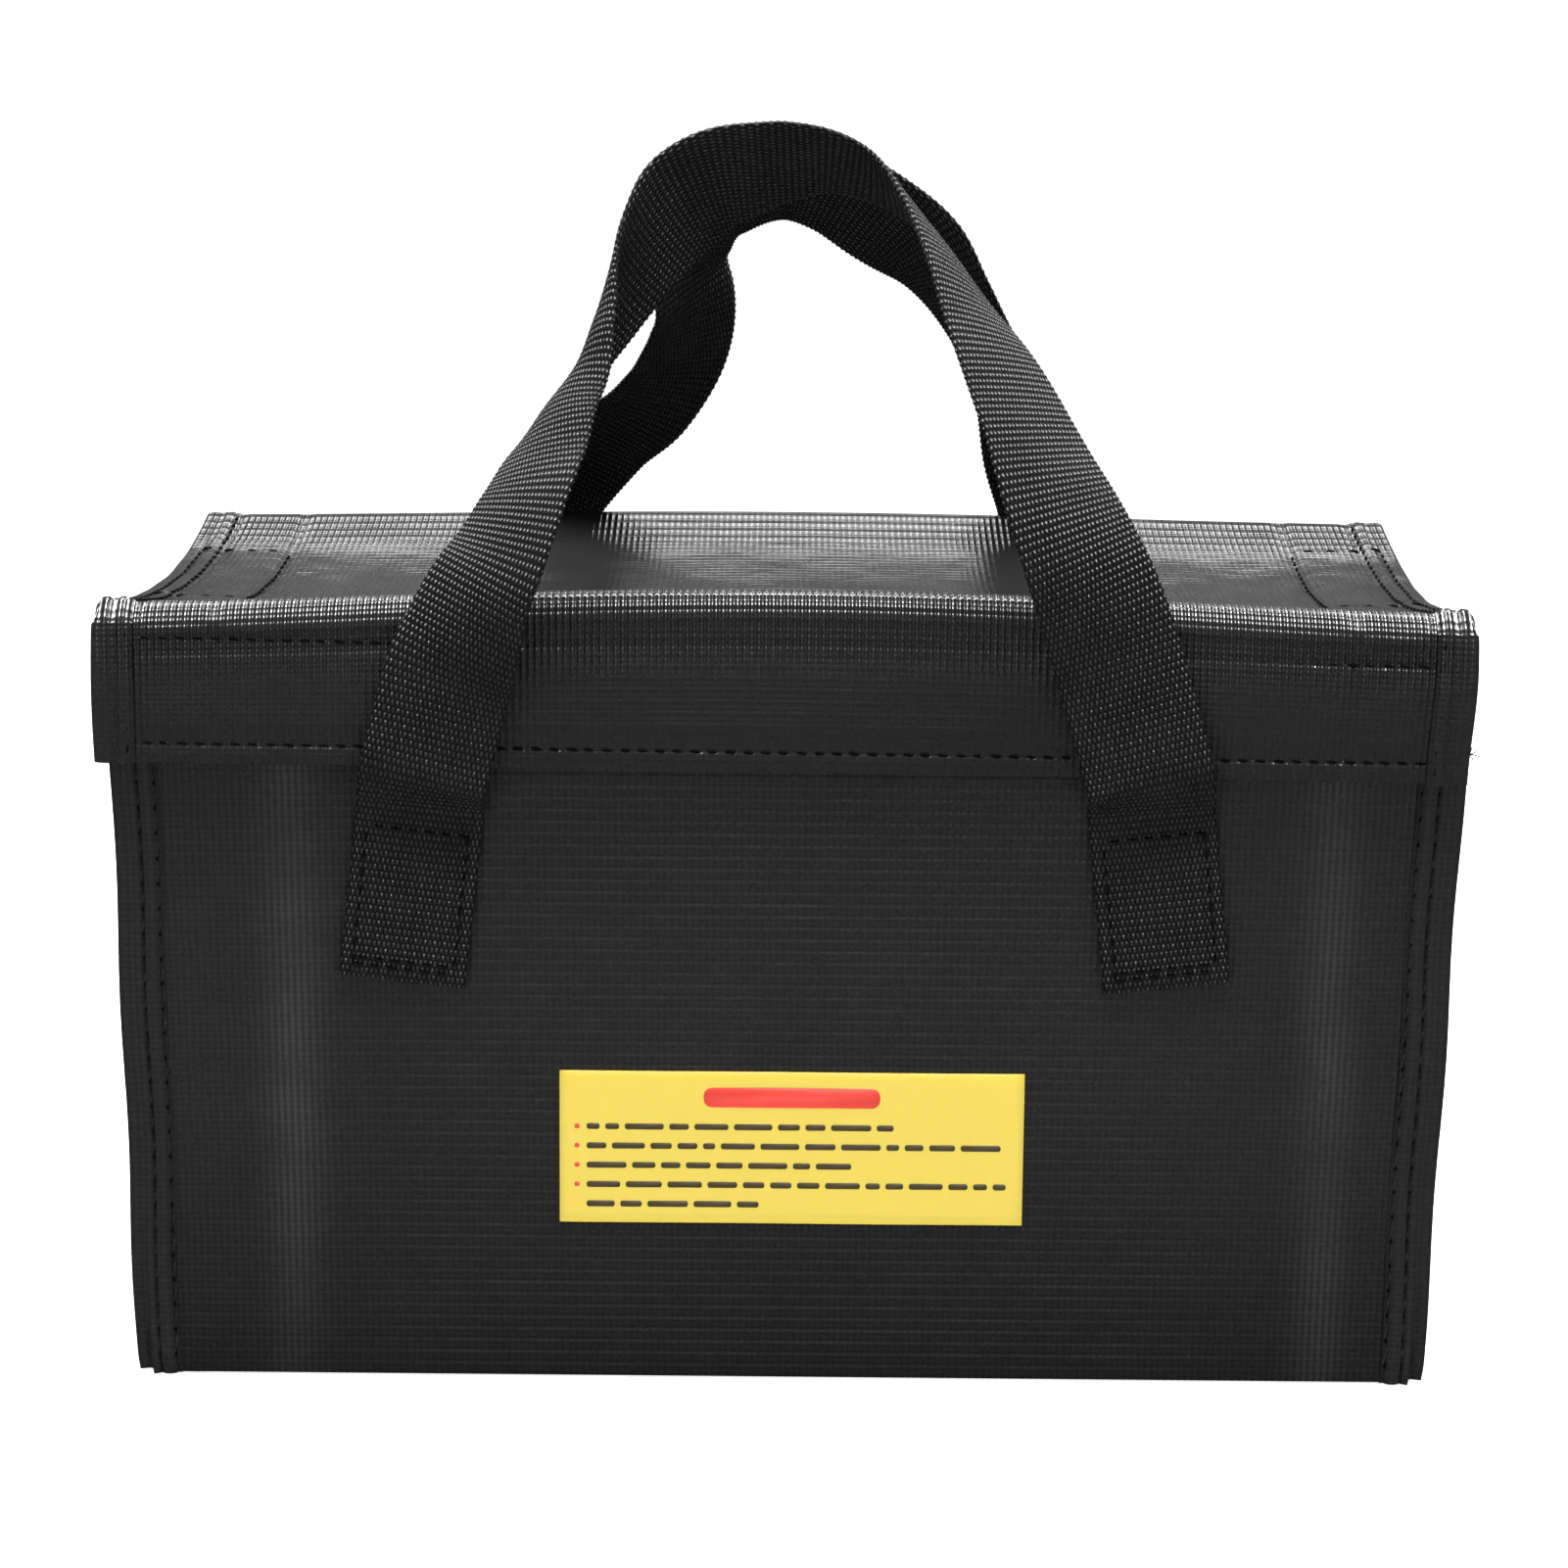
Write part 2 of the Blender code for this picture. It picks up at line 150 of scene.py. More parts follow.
# Routes of the handle loops: the centre line in millimetres, the webbing's turn and its lengthwise
# curl in degrees. With no turn the outer face looks away from the bag; a curl over 0 bends inwards.
FRONT_ROUTE = [
    (-71.4, -66.3, 114.0, 0, 0),
    (-71.2, -66.8, 116.0, 0, 0),
    (-70.9, -69.2, 118.8, 0, 0),
    (-70.3, -71.6, 121.8, 0, 0),
    (-68.7, -72.3, 128.0, 0, 4),
    (-65.5, -73.4, 140.5, -4, 4),
    (-62.4, -75.5, 149.4, -19, 6),
    (-58.9, -76.5, 159.2, -34, 8),
    (-55.1, -75.0, 167.2, -44, 10),
    (-50.6, -70.0, 177.9, -52, 16),
    (-47.5, -64.0, 185.8, -56, 28),
    (-44.7, -58.5, 193.5, -68, 50),
    (-40.6, -53.5, 201.0, -86, 74),
    (-37.8, -49.5, 208.0, -99, 80),
    (-33.8, -45.0, 216.1, -117, 65),
    (-28.2, -41.5, 224.6, -134, 45),
    (-22.4, -38.5, 231.2, -146, 28),
    (-14.8, -36.0, 236.3, -142, 16),
    (-5.2, -34.5, 238.9, -133, 10),
    (1.0, -34.0, 239.9, -127, 8),
    (7.0, -34.3, 239.9, -120, 8),
    (13.8, -35.0, 237.9, -113, 8),
    (19.2, -36.5, 234.9, -104, 10),
    (24.7, -40.0, 229.8, -93, 14),
    (30.0, -45.0, 222.8, -81, 18),
    (35.4, -52.0, 212.8, -69, 18),
    (39.1, -57.0, 205.8, -60, 16),
    (42.7, -61.5, 198.2, -53, 12),
    (47.2, -67.5, 187.9, -46, 8),
    (51.2, -72.5, 178.2, -35, 8),
    (55.3, -75.5, 168.3, -24, 8),
    (59.7, -75.5, 157.1, -12, 6),
    (64.1, -73.6, 143.7, -3, 4),
    (69.0, -72.3, 127.5, 0, 4),
    (70.5, -71.6, 121.8, 0, 0),
    (71.0, -69.2, 118.8, 0, 0),
    (71.2, -66.8, 116.0, 0, 0),
    (71.4, -66.3, 114.0, 0, 0),
]
BACK_ROUTE = [
    (-71.4, 66.3, 114.0, 0, 0),
    (-71.2, 66.8, 116.0, 0, 0),
    (-70.9, 69.2, 118.8, 0, 0),
    (-70.3, 71.6, 121.8, 0, 0),
    (-68.5, 72.3, 128.0, 0, 4),
    (-65.0, 72.3, 140.0, 0, 6),
    (-60.2, 72.6, 150.0, 1, 8),
    (-54.2, 66.0, 162.5, 20, 6),
    (-42.6, 56.0, 174.7, 38, 8),
    (-32.5, 49.0, 182.8, 43, 8),
    (-26.3, 44.0, 190.9, 44, 8),
    (-22.9, 38.0, 199.0, 44, 10),
    (-21.5, 32.0, 207.9, 48, 14),
    (-22.3, 28.0, 216.9, 50, 18),
    (-19.3, 25.5, 226.6, 48, 20),
    (-10.7, 23.5, 233.7, 43, 20),
    (-1.1, 22.5, 236.1, 41, 16),
    (8.7, 22.5, 233.3, 40, 12),
    (18.6, 23.0, 227.4, 37, 12),
    (27.8, 25.0, 220.8, 42, 12),
    (34.5, 28.0, 212.8, 55, 12),
    (40.9, 33.0, 203.1, 61, 10),
    (46.6, 40.0, 193.1, 60, 8),
    (51.6, 48.0, 182.8, 50, 8),
    (55.3, 57.0, 172.2, 34, 8),
    (60.2, 67.0, 160.1, 16, 8),
    (60.8, 72.4, 149.5, 1, 8),
    (65.0, 72.3, 139.5, 0, 6),
    (69.0, 72.3, 127.5, 0, 4),
    (70.5, 71.6, 121.8, 0, 0),
    (71.0, 69.2, 118.8, 0, 0),
    (71.2, 66.8, 116.0, 0, 0),
    (71.4, 66.3, 114.0, 0, 0),
]


# ---------------------------------------------------------------- small mathematics


def smooth(low, high, value):
    t = min(max((value - low) / (high - low), 0.0), 1.0)
    return t * t * (3 - 2 * t)


def bell(distance, width):
    return math.exp(-((distance / width) ** 2))


def between(low, high, share):
    return low + (high - low) * share


def spread(low, high, step):
    """Evenly spaced values from low to high, about step apart."""
    count = max(1, round(abs(high - low) / step))
    return [between(low, high, i / count) for i in range(count + 1)]


def dense_near(values, centres, reach, step):
    """The values, with a finer run of them round each centre."""
    found = set(round(v, 4) for v in values)
    low, high = min(values), max(values)
    for centre in centres:
        found = {v for v in found if abs(v - centre) > reach or v in (low, high)}
        run = spread(centre - reach, centre + reach, step)
        found |= {round(v, 4) for v in run if low < v < high}
    return sorted(found)


def ripple(a, b, seed):
    """A soft, repeatable unevenness of about -1 to 1 over a surface."""
    total = 0.0
    for k in range(1, 5):
        turn = seed * 1.7 + k * 2.1
        wave = 0.018 + 0.013 * k
        total += math.sin(wave * (a * math.cos(turn) + b * math.sin(turn)) * 2 * math.pi / 2.2 + turn)
    return total / 3


# ---------------------------------------------------------------- materials


class Value:
    """A number in a node tree. Ordinary sums on it add the nodes that work them out."""

    def __init__(self, nodes, socket):
        self.nodes = nodes
        self.socket = socket

    def __add__(self, other):
        return self.nodes.math("ADD", self, other)

    def __sub__(self, other):
        return self.nodes.math("SUBTRACT", self, other)

    def __rsub__(self, other):
        return self.nodes.math("SUBTRACT", other, self)

    def __mul__(self, other):
        return self.nodes.math("MULTIPLY", self, other)

    def __truediv__(self, other):
        return self.nodes.math("DIVIDE", self, other)

    def __pow__(self, other):
        return self.nodes.math("POWER", self, other)

    def __abs__(self):
        return self.nodes.math("ABSOLUTE", self)

    def cosine(self):
        return self.nodes.math("COSINE", self)

    def bell(self, centre, width):
        """1 at the centre, falling to 0 on both sides."""
        away = (self - centre) / width
        return self.nodes.math("EXPONENT", away * away * -1.0)

    def ranged(self, low, high, to_low=0.0, to_high=1.0, kind="LINEAR"):
        """The run from low to high turned into the run from to_low to to_high, and clamped to it."""
        inputs = {0: self, 1: low, 2: high, 3: to_low, 4: to_high}
        made = self.nodes.node("ShaderNodeMapRange", inputs, interpolation_type=kind)
        return Value(self.nodes, made.outputs[0])


class Nodes:
    """A node tree, put together one node at a time."""

    def __init__(self, tree):
        self.tree = tree

    def node(self, kind, inputs=None, **settings):
        made = self.tree.nodes.new(kind)
        for key, value in settings.items():
            setattr(made, key, value)
        for key, value in (inputs or {}).items():
            self.feed(made.inputs[key], value)
        return made

    def feed(self, socket, value):
        value = value.socket if isinstance(value, Value) else value
        if isinstance(value, bpy.types.NodeSocket):
            self.tree.links.new(value, socket)
        else:
            socket.default_value = value

    def math(self, operation, a, b=0.0):
        return Value(self, self.node("ShaderNodeMath", {0: a, 1: b}, operation=operation).outputs[0])

    def split(self, vector):
        return [Value(self, part) for part in self.node("ShaderNodeSeparateXYZ", {0: vector}).outputs]


class Finish(Nodes):
    """A material of one of the record's slots."""

    def __init__(self, name, slot):
        self.slot = slot
        self.material = bpy.data.materials.new(name)
        self.material.use_nodes = True
        super().__init__(self.material.node_tree)
        self.shader = self.tree.nodes["Principled BSDF"]

    def set(self, **values):
        for key, value in values.items():
            self.feed(self.shader.inputs[key.replace("_", " ")], value)

    def uv(self, layer="UVMap"):
        """A UV map, whole and as its two numbers: for "UVMap", distances along the cloth in millimetres."""
        coordinates = self.node("ShaderNodeUVMap", uv_map=layer).outputs[0]
        return coordinates, *self.split(coordinates)[:2]

    def noise(self, vector, scale, detail=2.0, rough=0.5):
        inputs = {"Vector": vector, "Scale": scale, "Detail": detail, "Roughness": rough}
        return Value(self, self.node("ShaderNodeTexNoise", inputs).outputs[0])

    def mix(self, share, first, second):
        made = self.node("ShaderNodeMix", {0: share, 6: first, 7: second}, data_type="RGBA")
        return made.outputs[2]

    def bump(self, height, distance, below=None):
        inputs = {"Height": height, "Distance": distance * MM, "Strength": 1.0}
        if below is not None:
            inputs["Normal"] = below
        return self.node("ShaderNodeBump", inputs).outputs[0]


def waves(along, pitch, power=1.0, shift=0.0):
    """Rounded ridges from 0 to 1 across a distance."""
    height = (along * (2 * math.pi / pitch) + shift).cosine() * 0.5 + 0.5
    return height if power == 1.0 else height**power


def grey(level, tint=0.0):
    return (level, level * (1 + tint / 2), level * (1 + tint), 1.0)


def coated_cloth(
    name, slot="coated_cloth", emboss=0.17, level=0.0125, rough=0.30, calm=None, sewn=False, sheen_bands=(),
    shaded_grooves=(),
):
    """Glossy coated glass cloth: an embossed grid of ribs and rows, and uneven gloss.

    calm is a stretch along the cloth where the grid is pulled nearly flat; behind it the grid shows as
    wide dots, and on the roll in front of it as bright ones. sewn cloth is dented by two rows of stitches,
    whose distances are in its second UV map. The upright bands, given as (place, width, strength), are
    painted sheen: paler colour along the ribs standing in for light caught on the walls' soft folds; with
    them the walls also get painted shade, colour and gloss darker towards the bottom. The grooves, given
    as distances across the cloth, are pressed lines with painted shade: darker colour and less gloss.
    """
    finish = Finish(name, slot)
    vector, across, up = finish.uv()
    x, _, z = finish.split(finish.node("ShaderNodeTexCoord").outputs["Object"])
    patches = finish.noise(vector, 0.02)

    # The grid: ribs are strongest near the bag's ends, and every second row in its middle
    outer = abs(x).ranged(*OUTER_PART) + patches.ranged(0.3, 0.7, -0.25, 0.25)
    rib_share, row_share, strong_share = (outer.ranged(0, 1, *shares) for shares in GRID_SHARES)
    ribs = waves(across, RIB_PITCH, 1.2)
    rows = waves(up, ROW_PITCH)
    strong_rows = waves(up, 2 * ROW_PITCH, 2.0, 0.9)
    if calm:
        start, end = calm
        rear = up.ranged(start - 12, start, 1, 0)
        slack = up.ranged(start - 12, start) - up.ranged(end - 3, end)
        on_roll = up.ranged(end - 1, end) - up.ranged(end + 14, end + 22)
        rib_share = rib_share + on_roll * 0.9 + rear * 0.35
        row_share = row_share * (1 - rear * 0.7)
        strong_share = strong_share * (1 - rear * 0.5)
    grid = ribs * rib_share + rows * row_share + strong_rows * strong_share
    if calm:
        wide_rows = waves(up, 4 * ROW_PITCH)
        grid = (grid + wide_rows * rear * 0.34) * (1 - slack * 0.75)
    grid = grid + finish.noise(vector, 2.6) * 0.05
    if sewn:
        dents = waves(across, STITCH_PITCH, 2.0) * 0.4 + 0.08
        uneven = finish.noise(vector, 0.45).ranged(0.35, 0.7, 0.3, 1.3)
        for distance in finish.uv("Rows")[1:]:
            grid = grid - distance.bell(0, 0.6) * uneven * dents

    dust = finish.noise(vector, 0.9, 4.0, 0.7).ranged(0.60, 0.78)
    colour = finish.mix(patches, grey(level * 0.85, 0.02), grey(level * 1.15, 0.02))
    colour = finish.mix(dust * 0.08, colour, grey(level * 2.2))
    gloss = grid.ranged(0.05, 0.75, 0.15, 0.7)
    # painted sheen: upright bands of paler colour along the ribs, standing in for light caught on the walls'
    # soft folds
    for centre, width, strength in sheen_bands:
        uneven = finish.noise(vector, 0.03).ranged(0.35, 0.65, 0.3, 1.0)
        sheen_band = x.bell(centre * MM, width * MM) * uneven * (ribs * 0.7 + 0.3)
        colour = finish.mix(sheen_band * strength, colour, grey(level * 4.0))
    if sheen_bands:
        # painted shade: colour and gloss darker towards the bottom of the walls
        foot = z.ranged(0.0, 0.05, 0.55, 1.0)
        colour = finish.mix(foot, grey(level * 0.3), colour)
        gloss = gloss * foot
    if calm:
        rear_dots = ribs * wide_rows * 1.5 - 0.12
        roll_dots = ribs * rows * 5.0 + 0.5
        gloss = gloss * (outer * 0.22 + 0.62 + rear * rear_dots + on_roll * roll_dots)
    # painted shade: darker colour and less gloss along each pressed stitch line
    for place in shaded_grooves:
        line = across.bell(place, 0.38)
        colour = finish.mix(line * 0.5, colour, grey(0.002))
        gloss = gloss * (1 - line * 0.5)
    finish.set(
        Base_Color=colour,
        Roughness=finish.noise(vector, 0.12, 4.0).ranged(0.3, 0.7, rough - 0.05, rough + 0.06),
        Specular_IOR_Level=gloss,
        Normal=finish.bump(grid, emboss, below=finish.bump(finish.noise(vector, 0.09), 0.6)),
    )
    return finish


def lining_cloth():
    """Dark grey woven lining with a silvery cast."""
    finish = Finish("lining_weave", "lining_cloth")
    vector, across, up = finish.uv()
    cell = abs(waves(across, 0.9) - waves(up, 0.9))
    haze = finish.noise(vector, 0.05, 3.0) * 0.5
    colour = finish.mix(haze, finish.mix(cell, grey(0.045, 0.05), grey(0.11, 0.05)), grey(0.05, 0.03))
    finish.set(Base_Color=colour, Roughness=0.62, Normal=finish.bump(cell, 0.10))
    return finish


def felt():
    finish = Finish("felt_fibres", "felt_interlining")
    fibres = finish.noise(finish.uv()[0], 1.8, 5.0, 0.7)
    colour = finish.mix(fibres, (0.22, 0.22, 0.21, 1), (0.40, 0.39, 0.37, 1))
    finish.set(Base_Color=colour, Roughness=0.95, Normal=finish.bump(fibres, 0.25))
    return finish


def binding_cloth():
    """Close woven edge binding."""
    finish = Finish("binding_weave", "binding_cloth")
    vector, across, up = finish.uv()
    slant = waves(across + up, 0.7)
    height = slant + finish.noise(vector, 1.2)
    colour = finish.mix(slant, grey(0.008), grey(0.022))
    finish.set(Base_Color=colour, Roughness=0.55, Normal=finish.bump(height, 0.08))
    return finish


def tape(name, slot, pitch, level):
    """Touch tape: rows of hooks, or a nap of loops, with a plain selvedge."""
    finish = Finish(name, slot)
    vector, across, up = finish.uv()
    height = waves(across, pitch, 2.0) * waves(up, pitch, 2.0) + finish.noise(vector, 2.5 / pitch, 4.0, 0.8)
    colour = finish.mix(height * 0.5, grey(level * 0.4), grey(level * 2.0))
    finish.set(Base_Color=colour, Roughness=0.85, Normal=finish.bump(height, 0.35))
    return finish


def webbing():
    """Rows of plump floats, staggered from row to row, with painted shade darkening the pits between them."""
    finish = Finish("webbing_weave", "webbing")
    vector, across, along = finish.uv()
    stagger = (along * (math.pi / WEAVE_ROW)).cosine()
    column = (across * (4 * math.pi / WEAVE_ACROSS)).cosine()
    floats = column * stagger * 0.5 + 0.5
    ridges = waves(along, WEAVE_ROW) * (waves(across, WEAVE_ACROSS) * 0.45 + 0.55)
    weave = (ridges * 0.55 + 0.30) * (floats * 0.85 + 0.15)
    # painted shade: colour darker down in the weave's pits, with a little random tone from the noise
    pit_shade_and_tone = weave * finish.noise(vector, 0.12).ranged(0.3, 0.7, 0.7, 1.0)
    finish.set(
        Base_Color=finish.mix(pit_shade_and_tone**1.5, grey(0.003), grey(0.050)),
        Roughness=weave.ranged(0.08, 0.5, 0.6, 0.25),
        Specular_IOR_Level=weave.ranged(0.15, 0.7, 0.03, 0.9),
        Normal=finish.bump(weave + finish.noise(vector, 2.2, 3.0, 0.7) * 0.12, 0.62),
    )
    return finish


def thread(name, rough, level, shine):
    finish = Finish(name, "thread")
    _, across, along = finish.uv()
    twist = waves(across * 2.0 + along, 0.35)
    colour = finish.mix(twist, grey(level * 0.4), grey(level))
    finish.set(Base_Color=colour, Roughness=rough, Specular_IOR_Level=shine)
    finish.set(Normal=finish.bump(twist, 0.05))
    return finish


def film(name, low, high, rough):
    """Printed label film: an even ink with a little mottle and handling haze."""
    finish = Finish(name, "label_film")
    mottle = finish.noise(finish.uv()[0], 0.35, 4.0, 0.6)
    finish.set(
        Base_Color=finish.mix(mottle, low, high),
        Roughness=mottle.ranged(0.3, 0.7, rough - 0.06, rough + 0.06),
        Normal=finish.bump(mottle, 0.02),
    )
    return finish


# ---------------------------------------------------------------- mesh building


def piece(name, points, faces, uvs, finish, thickness=0.0, offset=-1.0):
    """A smooth mesh from points in millimetres; thickness turns an open surface into cloth."""
    mesh = bpy.data.meshes.new(name)
    mesh.from_pydata([Vector(p) * MM for p in points], [], faces)
    layer = mesh.uv_layers.new(name="UVMap")
    for loop in mesh.loops:
        layer.data[loop.index].uv = uvs[loop.vertex_index]
    mesh.materials.append(finish.material)
    mesh.shade_smooth()
    item = bpy.data.objects.new(name, mesh)
    bpy.context.scene.collection.objects.link(item)
    if thickness:
        solid = item.modifiers.new("thickness", "SOLIDIFY")
        solid.thickness = thickness * MM
        solid.offset = offset
        solid.use_even_offset = True
        solid.thickness_clamp = 1.5
    return item


def surface(name, us, vs, place, finish, uv=None, **settings):
    """A sheet over the values us and vs: place(u, v) is its point, and uv(u, v) its place on the cloth."""
    points = [place(u, v) for u in us for v in vs]
    coordinates = [uv(u, v) if uv else (u, v) for u in us for v in vs]
    rows = len(vs)
    corners = [i * rows + j for i in range(len(us) - 1) for j in range(rows - 1)]
    faces = [(k, k + rows, k + rows + 1, k + 1) for k in corners]
    return piece(name, points, faces, coordinates, finish, **settings)


def ring_faces(rings, count, base=0):
    """Faces that join closed rings of count points, each to the next."""
    faces = []
    for start in range(base, base + (rings - 1) * count, count):
        for k in range(count):
            a, b = start + k, start + (k + 1) % count
            faces.append((a, b, b + count, a + count))
    return faces


def tube_faces(rings, count, base=0):
    """The same, closed at both ends."""
    last = base + (rings - 1) * count
    caps = [tuple(reversed(range(base, base + count))), tuple(range(last, last + count))]
    return ring_faces(rings, count, base) + caps


def run_lengths(points):
    """Distance along a run of points to each of them."""
    lengths = [0.0]
    for first, second in zip(points, points[1:]):
        lengths.append(lengths[-1] + math.dist(first, second))
    return lengths


def capsule(builder, start, end, radius, out):
    """Adds one stitch: a thread that dips into the cloth at both of its ends."""
    points, faces, uvs = builder
    along = end - start
    side = along.cross(out).normalized()
    rings = ((0.0, -0.55, 0.45), (0.12, 0.1, 0.9), (0.5, 0.42, 1.0), (0.88, 0.1, 0.9), (1.0, -0.55, 0.45))
    sides = 6
    base = len(points)
    for share, lift, girth in rings:
        centre = start + along * share + out * radius * lift
        for k in range(sides):
            angle = 2 * math.pi * k / sides
            points.append(centre + (side * math.cos(angle) + out * math.sin(angle)) * radius * girth)
            uvs.append((k * 0.3, share * along.length))
    faces.extend(tube_faces(len(rings), sides, base))


def stitch_rows(name, rows, length=2.5, gap=0.9, radius=0.23, slant=0.0, finish=None):
    """Rows of stitches as one piece. A row is (place, start, end): place(s) gives a point and its normal."""
    builder = ([], [], [])
    for place, start, end in rows:
        total = abs(end - start)
        count = max(1, int(total / (length + gap)))
        way = 1 if end > start else -1
        for i in range(count):
            wobble = RNG.uniform(-0.12, 0.12)
            s = start + way * (i * total / count + wobble)
            first, out = place(s)
            second, _ = place(s + way * length)
            side = (second - first).cross(out).normalized() * slant
            capsule(builder, first - side, second + side, radius * RNG.uniform(0.9, 1.1), out)
    return piece(name, *builder, finish or THREAD)


def on_surface(place, u_of, v_of, lift):
    """A stitching path over a placed surface: s gives (u, v), and the point comes with its normal."""

    def at(s):
        u, v = u_of(s), v_of(s)
        step = 0.15
        here = Vector(place(u, v))
        across = Vector(place(u + step, v)) - Vector(place(u - step, v))
        up = Vector(place(u, v + step)) - Vector(place(u, v - step))
        out = across.cross(up).normalized()
        return here + out * lift, out

    return at


# ---------------------------------------------------------------- body of the bag


def wall_offset(x, z):
    """How far the long walls stand out of flat: a slack middle, two soft upright folds and a foot crease."""
    height = math.sin(math.pi * min(max(z / 128, 0), 1))
    middle = math.cos(math.pi * x / (2 * HALF_X)) ** 0.7 if abs(x) < HALF_X else 0.0
    folds = sum(rise * bell(x - centre, width) for centre, width, rise in WALL_FOLDS)
    edge = smooth(HALF_X, HALF_X - 14, abs(x))
    puckers = 0.16 * math.sin(x / 3.1 + z / 17) * bell(z - 125, 12)
    flare = FOOT_FLARE * max(0.0, 1 - z / 48) ** 2
    slack = height * (0.25 * middle + folds * edge) + 0.14 * ripple(x, z, 3) * edge * height
    x_in, z_up = x - CREASE_START.x, z - CREASE_START.y
    across = (x_in * CREASE_WAY.y - z_up * CREASE_WAY.x) / CREASE_LENGTH
    along = (x_in * CREASE_WAY.x + z_up * CREASE_WAY.y) / CREASE_LENGTH
    crease = 0.8 * bell(across, 2.0) * bell(along - 7, 7)
    return flare + slack + puckers * edge + crease


def narrowed(x, z):
    """The bag's ends lean: it is a little narrower at its floor than at its rim."""
    foot, rim = SIDE_SPREAD[1 if x > 0 else -1]
    return x * (1 + between(foot, rim, z / RIM) / HALF_X)


def rounded_plan(half_x, half_y, radius, step):
    """Points round a rectangle with rounded corners, from above: (x, y, normal, arc length)."""
    stations = []
    length = 0.0
    corners = ((half_x, -half_y, -90), (half_x, half_y, 0), (-half_x, half_y, 90), (-half_x, -half_y, 180))
    for index, (x, y, start) in enumerate(corners):
        centre = Vector((x - math.copysign(radius, x), y - math.copysign(radius, y)))
        for k in range(7):
            angle = math.radians(start + 15 * k)
            normal = Vector((math.cos(angle), math.sin(angle)))
            stations.append((centre + normal * radius, normal))
        following = corners[(index + 1) % 4]
        angle = math.radians(start + 90)
        normal = Vector((math.cos(angle), math.sin(angle)))
        here = stations[-1][0]
        target = Vector((following[0], following[1]))
        target -= Vector((math.copysign(radius, target.x), math.copysign(radius, target.y)))
        target += normal * radius
        run = spread(0, 1, step / (target - here).length)
        stations.extend((here.lerp(target, share), normal) for share in run[1:-1])
    plan = []
    for i, (point, normal) in enumerate(stations):
        if i:
            length += (point - stations[i - 1][0]).length
        plan.append((point, normal, length))
    return plan


def rim_height(point, long_top, end_top, half_x):
    """The rim steps down from the long walls to the end walls at the corners."""
    return between(long_top, end_top, smooth(half_x - 3.5, half_x - 0.5, abs(point.x)))


def box_shell(name, half_x, half_y, radius, floor, tops, finish, thickness, step=2.5, soft=0.0):
    """One lofted, bottomed shell: rings run from the middle of the floor out and up to the rim."""
    plan = rounded_plan(half_x, half_y, radius, step)
    insets = [half_y - 0.5, half_y * 0.66, half_y * 0.33, 8.0, FLOOR_RADIUS]
    arc = [(FLOOR_RADIUS * (1 - math.sin(a)), FLOOR_RADIUS * (1 - math.cos(a))) for a in
           (math.radians(18 * k) for k in range(1, 6))]
    levels = [(inset, 0.0, -inset) for inset in insets] + [(i, z, z) for i, z in arc]
    rise = spread(0, 1, 3.0 / 120)[1:]
    points, uvs = [], []
    for inset, z, v in levels:
        for point, normal, length in plan:
            shrunk = Vector((
                math.copysign(max(abs(point.x) - inset, 0.4), point.x),
                math.copysign(max(abs(point.y) - inset, 0.4), point.y),
            ))
            flare = soft * wall_offset(shrunk.x, z) * abs(normal.y) ** 4
            points.append((narrowed(shrunk.x, z), shrunk.y + normal.y * flare * (inset < 5), floor + z))
            uvs.append((length, v))
    low = FLOOR_RADIUS
    for share in rise:
        for point, normal, length in plan:
            top = rim_height(point, *tops, half_x)
            z = between(low, top - floor, share)
            out = soft * wall_offset(point.x, floor + z) * abs(normal.y) ** 4
            side = soft * abs(normal.x) ** 4
            bow = math.sin(math.pi * z / 135) * math.cos(math.pi * point.y / (2 * half_y + 2))
            out += side * (0.5 * bow + 0.2 * ripple(point.y, z, 9) * abs(bow))
            x = narrowed(point.x + normal.x * out, floor + z)
            points.append((x, point.y + normal.y * out, floor + z))
            uvs.append((length, z))
    faces = [tuple(reversed(range(len(plan))))] + ring_faces(len(levels) + len(rise), len(plan))
    return piece(name, points, faces, uvs, finish, thickness)


def front_wall(x, z, lift=0.0):
    return Vector((x, -HALF_Y - wall_offset(x, z) - lift, z))


def make_body():
    shell = box_shell(
        "bag_shell", HALF_X, HALF_Y, CORNER_RADIUS, 0.0, (RIM - 1.3, END_RIM), BAG_CLOTH, CLOTH, 2.0, 1.0
    )
    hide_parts("front_panel", "back_panel", "left_end_panel", "right_end_panel", "bottom_panel")
    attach(shell, "box")
    _, felt_high = cad("back_interlining")
    left_low, _ = cad("left_end_interlining")
    floor_low, _ = cad("bottom_interlining")
    padding = box_shell(
        "stiffener", -left_low.x, felt_high.y, 2.2, floor_low.z, (RIM - 1.4, END_RIM), FELT, 1.9, 5.0
    )
    names = ("front", "back", "left_end", "right_end", "bottom")
    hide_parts(*[f"{side}_interlining" for side in names])
    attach(padding, "box")
    _, lining_high = cad("back_lining")
    left_low, _ = cad("left_end_lining")
    floor_low, _ = cad("bottom_lining")
    lining = box_shell(
        "bag_lining", -left_low.x, lining_high.y, 1.6, floor_low.z, (RIM - 1.4, END_RIM), LINING, 0.7, 3.0
    )
    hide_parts(*[f"{side}_lining" for side in names])
    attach(lining, "box")


def seam_profile(width, height):
    """Section of a folded seam, as (distance from the outer edge, height): two rows press it down."""
    section = []
    for w in dense_near(spread(0, width, 0.6), SEAM_ROWS, 0.6, 0.2):
        puff = math.sin(math.pi * min(w / width, 1)) ** 0.35 if 0 < w < width else 0.0
        press = sum(0.6 * bell(w - row, 0.45) for row in SEAM_ROWS)
        section.append((w, height * max(puff - press, 0.1)))
    return section


